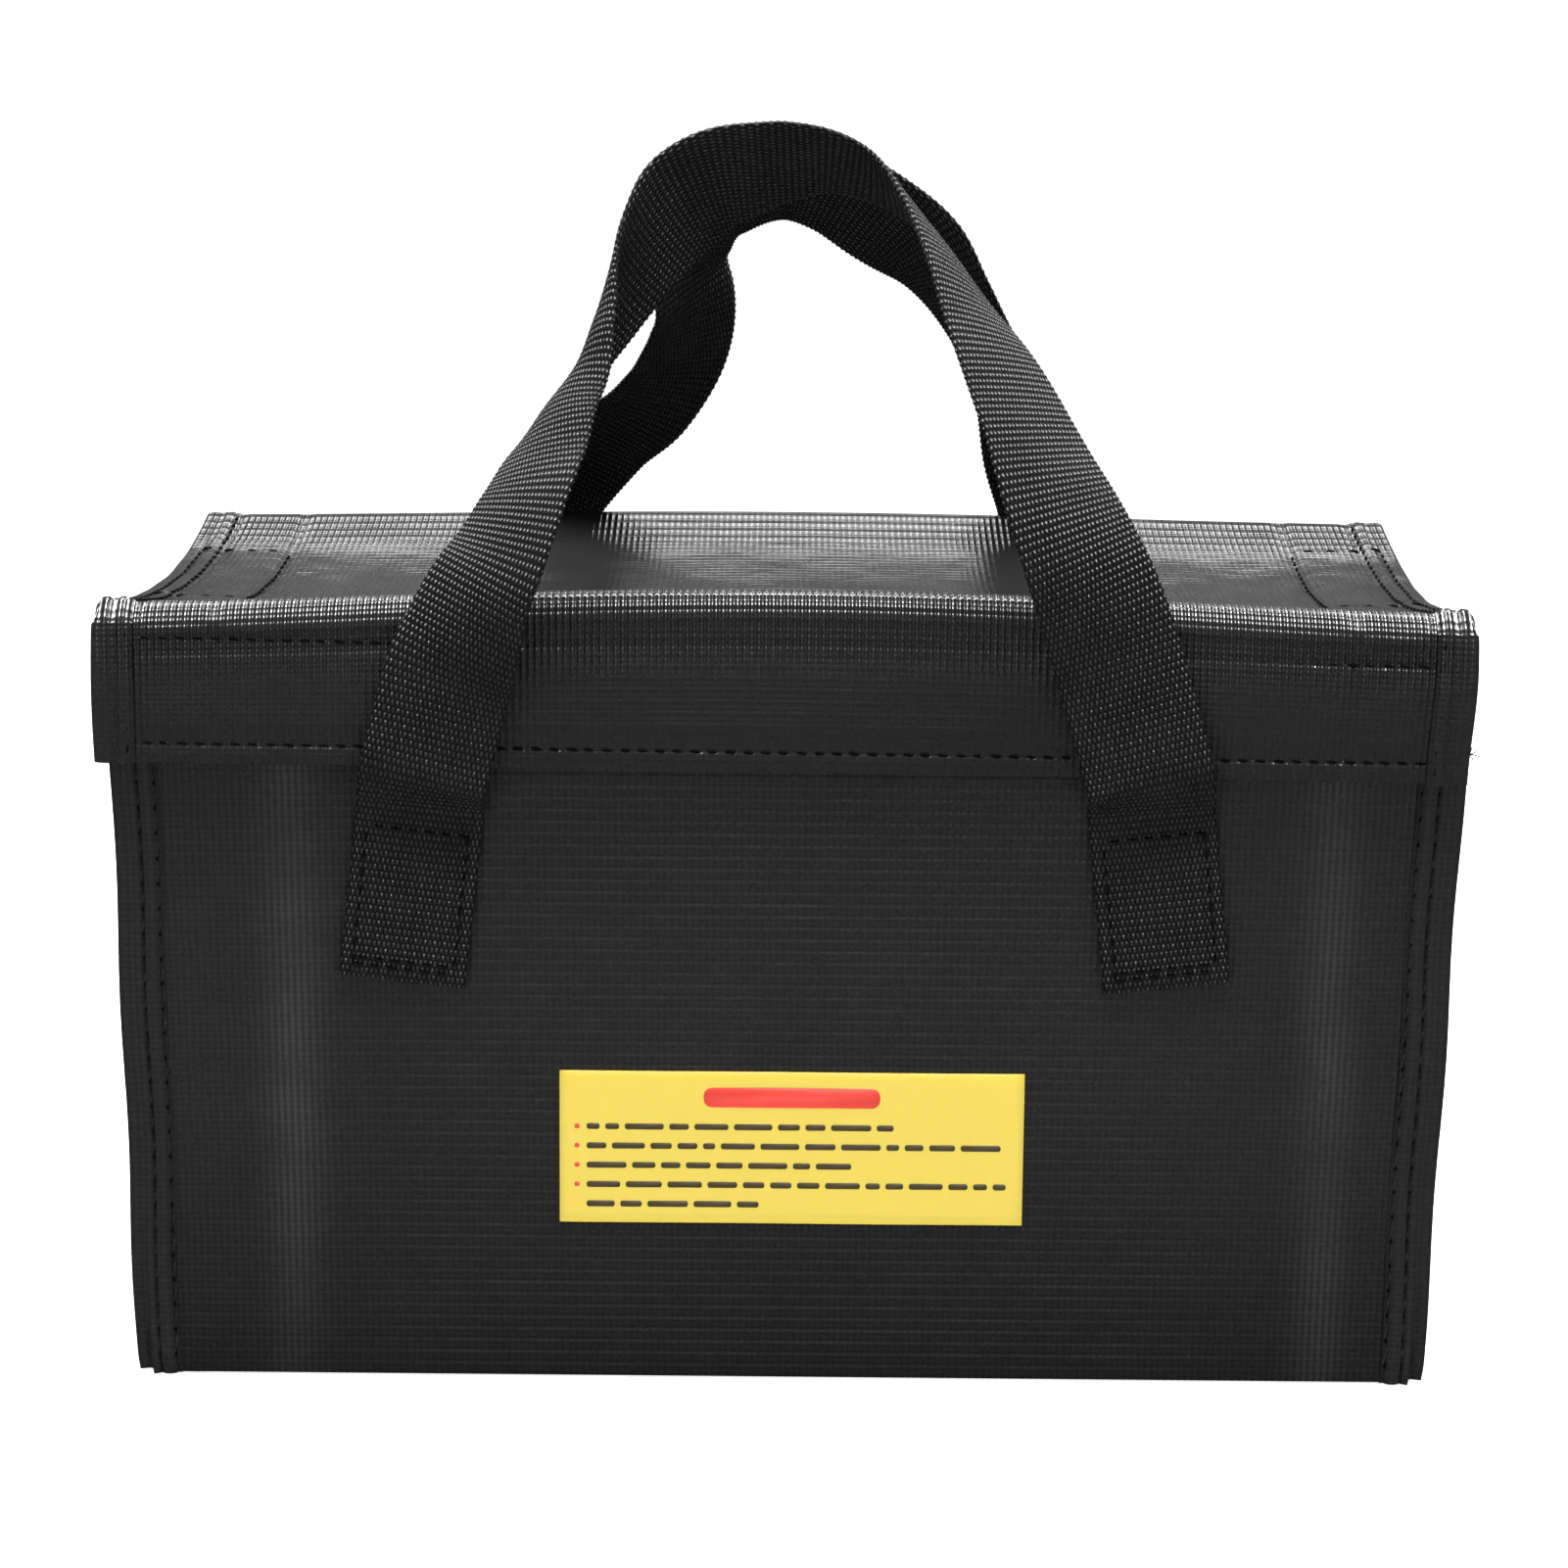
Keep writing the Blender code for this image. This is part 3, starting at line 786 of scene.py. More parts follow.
def make_seams():
    """Folded seams up the four corners, each held by two rows of stitching."""
    inner_rows, outer_rows = [], []
    for side, face in (("front", -1), ("back", 1)):
        for end, sign in (("left", -1), ("right", 1)):
            node = f"{side}_{end}_seam_strip"
            _, high = cad(node)
            edge = [(-1.9, -1.0), (-1.3, 0.1), (-0.4, 0.75)]
            flat = [(w, h) for w, h in seam_profile(SEAM_WIDTH, 0.95) if w > 0.3]
            section = edge + flat

            def place(u, v, sign=sign, face=face, section=section):
                w, h = section[int(u)]
                x = HALF_X - w if w > 0 else HALF_X + 0.55 * (1 + w / 1.9) + 0.2
                y = HALF_Y + 0.1 + h - (1.9 if w < -1.5 else 0.0) - (0.5 if -1.5 < w < -1 else 0.0)
                x += 0.18 * math.sin(v / 9 + sign) + 0.25 * ripple(v, face * 40, 5)
                tuck = 0.6 * (1 - smooth(0, 3, v))
                y += (wall_offset(x, v) if w > 2 else 0) - tuck * 0.6
                return Vector((narrowed(sign * (x - tuck * 0.4), v), face * y, v))

            def uv(u, v, section=section):
                return (section[int(u)][0], v)

            levels = spread(0.1, high.z, 1.6)
            order = list(range(len(section)))
            if sign * face > 0:
                order.reverse()
            strip = surface(node.replace("_strip", ""), order, levels, place, EDGE_CLOTH, uv, thickness=0.5)
            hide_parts(node)
            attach(strip, "box")
            for row, group in zip(SEAM_ROWS, (outer_rows, inner_rows)):
                def along(s, sign=sign, face=face, row=row):
                    x = HALF_X - row
                    y = HALF_Y + 0.62 + wall_offset(x, s)
                    return Vector((narrowed(sign * x, s), face * y, s)), Vector((0, face, 0))

                group.append((along, 4.0, high.z - 1.5))
    holes = [(place, start - 0.6, end) for place, start, end in outer_rows + inner_rows]
    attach(stitch_rows("seam_needle_holes", holes, 0.9, 4.1, 0.28), "box")
    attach(stitch_rows("seam_stitching", outer_rows, 3.4, 1.6, 0.22, 0.55, SHINY_THREAD), "box")
    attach(stitch_rows("seam_inner_stitching", inner_rows, 3.2, 1.8, 0.17, 0.3, SHINY_THREAD), "box")


def label_mark(builder, x_low, x_high, z_low, z_high):
    """A rounded flat mark, as one face a little above the film."""
    points, faces, uvs = builder
    base = len(points)
    r = min((z_high - z_low) / 2, (x_high - x_low) / 2) * 0.8
    for cx, cz, start in (
        (x_high - r, z_low + r, -90), (x_high - r, z_high - r, 0),
        (x_low + r, z_high - r, 90), (x_low + r, z_low + r, 180),
    ):
        for k in range(4):
            angle = math.radians(start + 30 * k)
            x, z = cx + r * math.cos(angle), cz + r * math.sin(angle)
            points.append(front_wall(x, z, MARK_LIFT))
            uvs.append((x, z))
    faces.append(tuple(range(base, base + 16)))


def make_label():
    """A film label with a plain heading bar and rows of plain marks, with no lettering."""
    low, high = cad("label")
    xs, zs = spread(low.x, high.x, 2.0), spread(low.z, high.z, 2.0)
    label = surface("label_film", xs, zs, lambda x, z: front_wall(x, z, LABEL_LIFT), YELLOW, thickness=0.3)
    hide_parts("label")
    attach(label, "box")
    width, height = high.x - low.x, high.z - low.z
    centre = (low.x + high.x) / 2
    heading, lines, bullets = ([], [], []), ([], [], []), ([], [], [])
    bar = (centre - width * 0.19, centre + width * 0.19)
    label_mark(heading, *bar, high.z - height * 0.235, high.z - height * 0.105)
    line_ends = (0.72, 0.965, 0.63, 0.965, 0.43)
    for index, reach in enumerate(line_ends):
        middle = high.z - height * (0.365 + 0.128 * index)
        x = low.x + width * 0.058
        end = low.x + width * reach
        while x < end - 1.5:
            word = min(RNG.uniform(2.4, 8.2), end - x)
            label_mark(lines, x, x + word, middle - 0.62, middle + 0.62)
            x += word + 1.1
        if index < 4:
            dot = low.x + width * 0.032
            label_mark(bullets, dot, dot + 1.0, middle - 0.5, middle + 0.5)
    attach(piece("label_heading_bar", *heading, RED, 0.05), "box")
    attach(piece("label_lines", *lines, INK, 0.05), "box")
    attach(piece("label_bullets", *bullets, RED, 0.05), "box")


def make_rim():
    """Bindings folded over the long rims, and the hook tape on the front wall."""
    for side, face in (("front", -1), ("back", 1)):
        node = f"{side}_rim_binding"
        low, high = cad(node)
        outer, inner = HALF_Y + 0.15, min(abs(low.y), abs(high.y)) - 0.15
        section = [(inner, RIM - 7.0), (inner, RIM - 3.0), (inner + 0.1, RIM - 0.9), (inner + 0.7, RIM - 0.1)]
        section += [((inner + outer) / 2, RIM + 0.1), (outer - 0.7, RIM - 0.1), (outer - 0.05, RIM - 0.9)]
        section += [(outer, RIM - 2.2)]
        lengths = run_lengths(section)

        def place(u, v, section=section, face=face):
            y, z = section[int(v)]
            return Vector((u, face * (y + 0.12 * ripple(u, 5, 2)), z + 0.2 * ripple(u, 50, 4)))

        def uv(u, v, lengths=lengths):
            return (u, lengths[int(v)])

        order = list(range(len(section)))
        if face > 0:
            order.reverse()
        strip = surface(
            f"{side}_binding", spread(-HALF_X + 0.6, HALF_X - 0.6, 3.0), order, place, BINDING, uv,
            thickness=0.3, offset=1.0,
        )
        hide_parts(node)
        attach(strip, "box")
    low, high = cad("front_hook_tape")

    def place(x, z):
        edge = min(x - low.x, high.x - x, z - low.z, high.z - z)
        return Vector((x, -HALF_Y - 0.45 - 0.55 * smooth(0.3, 2.2, edge) + 0.05 * ripple(x, z, 6), z))

    xs = dense_near(spread(low.x, high.x, 3.0), (low.x + 1.4, high.x - 1.4), 1.3, 0.5)
    zs = dense_near(spread(low.z, high.z, 2.0), (low.z + 1.4, high.z - 1.4), 1.3, 0.5)
    hook = surface("hook_tape_front", xs, zs, place, HOOK, thickness=0.5)
    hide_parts("front_hook_tape")
    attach(hook, "box")


# ---------------------------------------------------------------- lid


def edge_height(y, x):
    """Height of the lid's edges above its flat top: both long edges crown in the middle of the bag."""
    share = smooth(LID_BACK, LID_FRONT, y)
    bow = math.cos(math.pi * x / (2 * LID_X + 8)) ** 1.5
    return between(BACK_CROWN, FRONT_CROWN, share) * bow + between(BACK_RISE, 0.0, share)


def lid_height(x, y):
    """Outer face of the lid: it sags between its long edges, with soft creases and stitched ends."""
    middle, half = (LID_BACK + LID_FRONT) / 2, (LID_BACK - LID_FRONT) / 2
    slack = max(0.0, 1 - ((y - middle) / half) ** 2)
    sag = SAG * slack * (1 - 0.14 * smooth(95, LID_X, abs(x)))
    height = LID_TOP + edge_height(y, x) * (1 - slack) - sag
    ridge = 0.45 * bell(y - LID_FRONT - 9.4, 2.0) * bell(x, 85)
    dip = 0.6 * bell(y - LID_FRONT - 6.4, 1.3) * bell(x, 85)
    creases = 0.22 * bell((x + 88) * 0.35 + (y - 12) * 0.94, 4.5) * smooth(120, 95, abs(x))
    creases += 0.25 * bell((x - 92) * 0.3 - (y - 8) * 0.95, 5.0) * smooth(122, 98, abs(x))
    creases += 0.22 * ripple(x * 1.2, y * 1.6, 12) * slack
    return height + ridge - dip + creases


def lid_raise(x, y):
    """Extra thickness of the lid's top: the folded seams at its ends and the tapes sewn under it."""
    inward = LID_X - abs(x)
    fold = 0.55 * smooth(SEAM_ALLOWANCE + 0.7, SEAM_ALLOWANCE - 0.5, inward)
    pressed = sum(0.12 * bell(inward - row, 0.6) for row in END_ROWS)
    low, high = TAPE_BOX
    inside = min(inward - low.x, high.x - inward, y - low.y, high.y - y)
    tape_bulge = 0.35 * smooth(-0.2, 1.4, inside) - 0.08 * bell(inside, 0.6)
    return fold - pressed + (tape_bulge if inside > -2 else 0.0)


def skirt_bottom(x):
    return SKIRT_END + 1.0 + SKIRT_SLOPE * x


def skirt_offset(x, z):
    """How far the front skirt stands out: two sewn rows press it in, and the hem is folded double."""
    upper = UPPER_ROW + UPPER_SLOPE * x
    lower = LOWER_ROW + SKIRT_SLOPE * x
    press = 0.06 * bell(z - upper, 1.2) + 0.12 * bell(z - lower, 0.9)
    fold = skirt_bottom(x) + 2.1
    hem = 0.22 * smooth(lower + 0.6, lower - 1.2, z) - 0.16 * bell(z - fold, 0.4)
    puff = 0.22 * math.sin(math.pi * min(max((z - lower) / (upper - lower), 0), 1))
    return puff - press + hem + 0.22 * ripple(x, z * 1.5, 15)


def lid_section():
    """Stations of the lid's cloth, from its seam on the back wall over the top to the front hem.

    Each station is (part, value): the same list serves every x, so that the sheet is one grid.
    """
    heights = dense_near(spread(COVER_START, LID_TOP - BACK_ROLL - 1, 1.8), (BACK_ROW,), 0.9, 0.3)
    back = [("back", z) for z in heights]
    rear = [("rear_roll", math.radians(a)) for a in range(0, 91, 10)]
    ys = spread(LID_BACK - BACK_ROLL, LID_FRONT + FRONT_ROLL, 1.2)[1:-1]
    top = [("top", y) for y in ys]
    front = [("front_roll", math.radians(a)) for a in range(90, -1, -7)]
    drop = sorted(dense_near(spread(0.03, 1.0, 0.035), SKIRT_MARKS, 0.045, 0.011))
    skirt = [("skirt", s) for s in drop]
    hem = [("hem", math.radians(a)) for a in range(30, 181, 30)] + [("inner", s) for s in (1.0, 2.4)]
    return back + rear + top + front + skirt + hem


def lid_point(x, station):
    """Point of the lid's outer face at x, before its ends are rolled over."""
    part, value = station
    if part == "back":
        return Vector((x, LID_BACK - 0.25 + 0.1 * ripple(x, value, 8) - 0.9 * smooth(140, 131, value), value))
    if part == "rear_roll":
        y = LID_BACK - BACK_ROLL * (1 - math.cos(value))
        z = lid_height(x, y) + lid_raise(x, y) - BACK_ROLL * (1 - math.sin(value))
        return Vector((x, y, z))
    if part == "top":
        return Vector((x, value, lid_height(x, value) + lid_raise(x, value)))
    roll_y = LID_FRONT + FRONT_ROLL
    top_z = lid_height(x, LID_FRONT) + lid_raise(x, LID_FRONT) * 0.5 - FRONT_ROLL
    if part == "front_roll":
        forward = max(math.cos(value), 0.0) ** ROLL_BLUNTNESS
        drop = 1 - max(math.sin(value), 0.0) ** ROLL_BLUNTNESS
        y = roll_y - FRONT_ROLL * forward
        z = lid_height(x, y) + lid_raise(x, y) - FRONT_ROLL * drop
        return Vector((x, y, between(top_z, z, math.sin(value) ** 0.5) if value > 0 else top_z))
    bottom = skirt_bottom(x)
    if part == "skirt":
        z = between(top_z, bottom + 0.7, value)
        return Vector((x, LID_FRONT - skirt_offset(x, z) * smooth(top_z, top_z - 5, z), z))
    y = LID_FRONT - skirt_offset(x, bottom + 0.7)
    if part == "hem":
        return Vector((x, y + 0.6 - 0.6 * math.cos(value), bottom + 0.7 - 0.7 * math.sin(value)))
    return Vector((x, y + 1.2, bottom + 0.7 + value))


def left_shift(z, y=LID_FRONT):
    """How far the left end of the lid stands out; it is drawn in a little at its rear."""
    return 0.1 - 0.9 * smooth(LID_FRONT + 10, LID_BACK, y)


def right_shift(z, y=LID_FRONT):
    """The right end of the lid is drawn in, most at its lower edge, and stands out at its rear."""
    return -0.9 - 1.1 * smooth(146, 124, z) + 3.0 * smooth(LID_FRONT + 10, LID_BACK, y)


END_SHIFT = {-1: left_shift, 1: right_shift}


def shifted(point):
    """Moves a point of the lid sideways with the end that it is near."""
    way = 1 if point.x > 0 else -1
    share = smooth(60, LID_X, abs(point.x))
    return point + Vector((way * END_SHIFT[way](point.z, point.y) * share, 0, 0))


def section_lengths(stations):
    """Distance along the cloth from its back seam to each station, in the middle of the bag."""
    lengths = [0.0]
    for first, second in zip(stations, stations[1:]):
        lengths.append(lengths[-1] + (lid_point(0, second) - lid_point(0, first)).length)
    return lengths


def cloth_length(part, value):
    """Distance along the cloth from its back seam to the station nearest to a value."""
    stations = lid_section()
    lengths = section_lengths(stations)
    found = min((abs(v - value), i) for i, (p, v) in enumerate(stations) if p == part)
    return lengths[found[1]]


def map_rows(item):
    """Second UV map of the lid's cloth: heights above the two sewn rows of the front skirt."""
    rows = item.data.uv_layers.new(name="Rows")
    for loop in item.data.loops:
        x, y, z = item.data.vertices[loop.vertex_index].co / MM
        upper = UPPER_ROW + UPPER_SLOPE * x
        lower = LOWER_ROW + SKIRT_SLOPE * x
        on_skirt = y < LID_FRONT + 0.9
        rows.data[loop.index].uv = (z - upper, z - lower) if on_skirt else (30.0, 30.0)


def make_lid_cover():
    """One cloth from the back wall over the hinge and the sagging top to the front hem."""
    stations = lid_section()
    lengths = section_lengths(stations)
    inner = LID_X - END_ROLL
    sewn = [s * (LID_X - e) for s in (-1, 1) for e in (*END_ROWS, SEAM_ALLOWANCE, TAPE_BOX[1].x)]
    xs = dense_near(spread(-inner, inner, 2.2), sewn, 0.8, 0.27)
    columns = [(-1, a) for a in range(90, 0, -18)] + [(0, x) for x in xs]
    columns += [(1, a) for a in range(18, 91, 18)]

    def width(station):
        """Share of the lid's full width: the cloth narrows to the box below its hinge."""
        part, value = station
        return smooth(128, LID_TOP - 3, value) if part == "back" else 1.0

    def place(u, v):
        sign, value = columns[int(u)]
        station = stations[int(v)]
        x = value if sign == 0 else sign * inner
        before = stations[max(int(v) - 1, 0)]
        after = stations[min(int(v) + 1, len(stations) - 1)]
        point = lid_point(x, station)
        if sign:
            ahead = lid_point(x, after) - lid_point(x, before)
            out = Vector((0, -ahead.z, ahead.y)).normalized() * -1
            angle = math.radians(value)
            point = point + Vector((sign * END_ROLL * math.sin(angle), 0, 0))
            point = point - out * END_ROLL * (1 - math.cos(angle))
        shrink = (LID_X - HALF_X - 0.4) * (1 - width(station)) * smooth(60, LID_X, abs(x))
        point.x -= math.copysign(shrink, x)
        return point.lerp(shifted(point), width(station))

    def uv(u, v):
        sign, value = columns[int(u)]
        x = value if sign == 0 else sign * (inner + END_ROLL * math.radians(value))
        return (x, lengths[int(v)])

    cover = surface(
        "lid_cover", list(range(len(columns))), list(range(len(stations))), place, LID_CLOTH, uv,
        thickness=CLOTH, offset=-1.0,
    )
    cover.modifiers["thickness"].use_even_offset = False
    map_rows(cover)
    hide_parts("lid_top_panel", "lid_front_skirt", "lid_hinge_strip")
    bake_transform(cover)
    return cover, (2 * LID_X, lengths[-1])


def make_lid_ends():
    """End skirts, and the corner folds that wrap from them on to the front skirt."""
    for side, sign in (("left", -1), ("right", 1)):
        def place(u, v, sign=sign):
            top = lid_height(sign * (LID_X - 1), u) - 0.5
            z = between(skirt_bottom(sign * LID_X), top, v)
            bulge = 0.4 * math.sin(math.pi * v) + 0.25 * ripple(u, z, 21)
            x = LID_X - 0.35 + bulge - 0.9 * smooth(0.93, 1.0, v) ** 2
            return Vector((sign * (x + END_SHIFT[sign](z, u)), u, z))

        ys = spread(cad("lid_left_skirt")[0].y, cad("lid_left_skirt")[1].y, 2.5)
        heights = dense_near(spread(0, 1, 0.08), (0.12, 0.98), 0.04, 0.02)
        if sign < 0:
            ys.reverse()
        skirt = surface(
            f"lid_{side}_end", ys, heights, place, LID_CLOTH, lambda u, v: (u, 122 + 32 * v), thickness=CLOTH
        )
        map_rows(skirt)
        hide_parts(f"lid_{side}_skirt")
        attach(skirt, "lid")

        section = [(-1.2, 1.2), (-0.9, 0.2), (-0.3, -0.25)]
        section += [(w, -h) for w, h in seam_profile(SEAM_ALLOWANCE, 0.8) if w > 0.3]

        roll_start, roll_end = cloth_length("front_roll", math.pi / 2), cloth_length("front_roll", 0.0)

        def fold(u, v, sign=sign, section=section):
            w, y = section[int(u)]
            x = LID_X - w if w > 0 else LID_X + 0.25 + 0.2 * w
            angle = max(v - 1, 0.0) * math.pi / 2
            turned = math.sin(angle)
            out = 0.55 - y
            if w < 0.9:
                x = between(x, LID_X - 1.0 - 0.3 * w, turned)
                out = between(out, 0.5 + 0.1 * w, turned)
            foot = lid_point(sign * (LID_X - max(w, 1.5)), ("front_roll", angle))
            z = foot.z + 0.6 * out * turned
            if v < 1:
                z = between(skirt_bottom(sign * LID_X) - 0.2, foot.z, v)
                out += 0.25 * math.sin(math.pi * v)
                x += 0.3 * math.sin(math.pi * v) if w < 0 else 0.0
            return Vector((sign * (x + END_SHIFT[sign](z)), foot.y - out * math.cos(angle), z))

        def fold_uv(u, v, sign=sign, section=section):
            if v > 1:
                return (sign * (LID_X - section[int(u)][0]), between(roll_end, roll_start, v - 1))
            return (sign * (LID_X - section[int(u)][0]), roll_end + 30 * (1 - v))

        order = list(range(len(section)))
        if sign < 0:
            order.reverse()
        heights = spread(0, 1, 0.05) + spread(1, 1.86, 0.11)[1:]
        tab = surface(
            f"lid_{side}_corner_fold", order, heights, fold, LID_CLOTH, fold_uv, thickness=0.45,
        )
        map_rows(tab)
        tab.modifiers["thickness"].use_even_offset = False
        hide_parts(f"lid_{side}_corner_tab")
        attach(tab, "lid")


def make_lid_inside():
    """Lining of the lid, with the loop tapes that are sewn to it and to the front skirt."""
    low, high = cad("lid_lining")

    def place(x, y):
        return Vector((x, y, lid_height(x, y) - 1.2 - CLOTH))

    lining = surface(
        "lid_inner_lining", spread(low.x, high.x, 6.0), spread(low.y, high.y, 4.0), place, LINING,
        thickness=0.6,
    )
    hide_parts("lid_lining")
    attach(lining, "lid")
    for side in ("left", "right"):
        node = f"lid_{side}_loop_tape"
        low, high = cad(node)

        def under(x, y, low=low, high=high):
            edge = min(x - low.x, high.x - x, y - low.y, high.y - y)
            return Vector((x, y, lid_height(x, y) - 2.5 - CLOTH - 0.5 * smooth(0.2, 2.0, edge)))

        patch = surface(
            f"lid_{side}_loop_patch", spread(low.x, high.x, 1.0), spread(low.y, high.y, 2.0), under, LOOP,
            thickness=0.4,
        )
        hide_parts(node)
        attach(patch, "lid")
    low, high = cad("lid_front_loop_tape")

    def inside(x, z):
        edge = min(x - low.x, high.x - x, z - low.z, high.z - z)
        return Vector((x, low.y + 0.45 + 0.5 * smooth(0.2, 2.0, edge), z))

    xs = spread(high.x, low.x, 3.0)
    loop = surface("lid_front_loop_strip", xs, spread(low.z, high.z, 1.0), inside, LOOP, thickness=0.4)
    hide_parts("lid_front_loop_tape")
    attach(loop, "lid")


def make_lid_stitching():
    """The rows seen on the skirt and along the lid's ends, and the rectangles that hold the tapes."""
    rows, uprights = [], []
    reach = LID_X - SEAM_ALLOWANCE - 1

    def skirt_row(base, slope):
        def at(s):
            z = base + slope * s
            return Vector((s, LID_FRONT - skirt_offset(s, z) - 0.08, z)), Vector((0, -1, 0))
        return at

    rows.append((skirt_row(UPPER_ROW, UPPER_SLOPE), -reach, reach))
    rows.append((skirt_row(LOWER_ROW, SKIRT_SLOPE), -reach, reach))
    for sign in (-1, 1):
        for inset in (2.2, 6.0):
            def upright(s, sign=sign, inset=inset):
                x = sign * (LID_X - inset + END_SHIFT[sign](s))
                return Vector((x, LID_FRONT - 1.22, s)), Vector((0, -1, 0))

            uprights.append((upright, skirt_bottom(sign * LID_X) + 1.5, LID_TOP - 3.5))

        def top_point(x, y):
            return shifted(Vector((x, y, lid_height(x, y) + lid_raise(x, y))))

        low, high = TAPE_BOX
        back = high.y - TAPE_SHORTER[sign]
        for inset, end in zip(END_ROWS, (back, LID_BACK - 3)):
            x = sign * (LID_X - inset)
            path = on_surface(top_point, lambda s, x=x: x, lambda s: s, 0.24)
            rows.append((path, LID_FRONT + 5, end))
        for y in (low.y, back):
            path = on_surface(top_point, lambda s, sign=sign: sign * (LID_X - s), lambda s, y=y: y, 0.42)
            rows.append((path, low.x, high.x))
        x = sign * (LID_X - high.x)
        rows.append((on_surface(top_point, lambda s, x=x: x, lambda s: s, 0.32), low.y, back))
    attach(stitch_rows("lid_stitching", rows[:2] + uprights, 2.3, 1.1, 0.30, 0.12), "lid")
    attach(stitch_rows("lid_end_stitching", rows[2:], 2.3, 2.2, 0.34, 0.12), "lid")
    glints = [(place, start + 5 * k, end) for k, (place, start, end) in enumerate(rows[:2])]
    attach(stitch_rows("lid_stitch_glints", glints, 0.5, 16.5, 0.26, 0.1, SHINY_THREAD), "lid")

    frayed = ([], [], [])
    knot = Vector((LID_X + right_shift(127) + 0.2, LID_FRONT - 0.8, 128.4))
    for reach in ((1.9, 0.7), (2.6, -0.6), (1.2, -1.3), (0.9, 1.5)):
        bend = knot + Vector((reach[0] * 0.5, -0.3, reach[1] * 0.2))
        tip = knot + Vector((reach[0], 0.1, reach[1]))
        capsule(frayed, knot, bend, 0.13, Vector((0, -1, 0)))
        capsule(frayed, bend, tip, 0.11, Vector((0, -1, 0)))
    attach(piece("frayed_thread", *frayed, THREAD), "lid")

    def back_row(s):
        return Vector((s, LID_BACK - 0.95, BACK_ROW)), Vector((0, 1, 0))

    row = stitch_rows("back_seam_stitching", [(back_row, -HALF_X + 3, HALF_X - 3)], 2.4, 1.0, 0.24)
    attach(row, "box")


def make_flaps():
    """Fold-in end flaps, sewn inside the end walls, with their hook tapes."""
    for side, sign in (("left", -1), ("right", 1)):
        low, high = cad(f"{side}_flap")
        top = high.z - 0.2
        root = max(abs(low.x), abs(high.x)) + 0.15
        tip = min(abs(low.x), abs(high.x))
        path = [(root, top - 8.0), (root, top - 5.0), (root, top - 2.6), (root - 0.2, top - 1.5)]
        path += [(root - 0.6, top - 0.6), (root - 1.4, top - 0.1), (root - 2.4, top)]
        path += [(x, top) for x in spread(root - 4, tip, 3.0)]
        lengths = run_lengths(path)

        def place(u, v, path=path, sign=sign, tip=tip, high=high):
            x, z = path[int(u)]
            droop = 0.3 * ripple(x, v, 30 + sign) * smooth(root - 2, root - 12, x)
            taper = 1 - 0.06 * smooth(root - 10, tip, x)
            return Vector((sign * x, v * taper, z - 0.3 + droop * 0.5))

        ys = spread(low.y, high.y, 4.0)
        if sign > 0:
            ys.reverse()
        flap = surface(
            f"{side}_fold_flap", list(range(len(path))), ys, place, BAG_CLOTH,
            lambda u, v, lengths=lengths: (v, lengths[int(u)]), thickness=0.5,
        )
        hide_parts(f"{side}_flap")
        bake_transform(flap)
        node = f"{side}_flap_hook_tape"
        low, high = cad(node)

        def strip(x, y, low=low, high=high):
            edge = min(x - low.x, high.x - x, y - low.y, high.y - y)
            return Vector((x, y, low.z + 0.45 + 0.5 * smooth(0.2, 2.0, edge)))

        tape_piece = surface(
            f"{side}_flap_hooks", spread(low.x, high.x, 1.0), spread(low.y, high.y, 2.0), strip, HOOK,
            thickness=0.4,
        )
        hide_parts(node)
        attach(tape_piece, f"{side}_flap")


# ---------------------------------------------------------------- webbing handles


def catmull(a, b, c, d, t):
    return 0.5 * (2 * b + (c - a) * t + (2 * a - 5 * b + 4 * c - d) * t**2 + (3 * b - a - 3 * c + d) * t**3)


def handle_stations(route, face, step):
    """The whole strap from one sewn end to the other, as evenly spaced (point, turn, curl)."""
    lean = Vector((math.sin(PATCH_TILT), 0, math.cos(PATCH_TILT)))
    centre = Vector((-PATCH_CENTRE.x, face * PATCH_CENTRE.y, PATCH_CENTRE.z))
    ends = [centre + lean * (s * PATCH_LENGTH) for s in (-0.5, -0.25, 0.0, 0.25)]
    knots = [(p, 0.0, 0.0) for p in ends]
    knots += [(Vector(r[:3]), float(r[3]), float(r[4])) for r in route]
    knots += [(Vector((-p.x, p.y, p.z)), 0.0, 0.0) for p in reversed(ends)]
    fine = []
    for i in range(len(knots) - 1):
        a, b = knots[max(i - 1, 0)], knots[i]
        c, d = knots[i + 1], knots[min(i + 2, len(knots) - 1)]
        for k in range(24):
            t = k / 24
            fine.append(tuple(catmull(a[n], b[n], c[n], d[n], t) for n in range(3)))
    fine.append(knots[-1])
    lengths = [0.0]
    for first, second in zip(fine, fine[1:]):
        lengths.append(lengths[-1] + (second[0] - first[0]).length)
    even = []
    j = 0
    for s in spread(0, lengths[-1], step):
        while j < len(fine) - 2 and lengths[j + 1] < s:
            j += 1
        t = (s - lengths[j]) / max(lengths[j + 1] - lengths[j], 1e-6)
        even.append(tuple(between(fine[j][n], fine[j + 1][n], t) for n in range(3)))
    return even


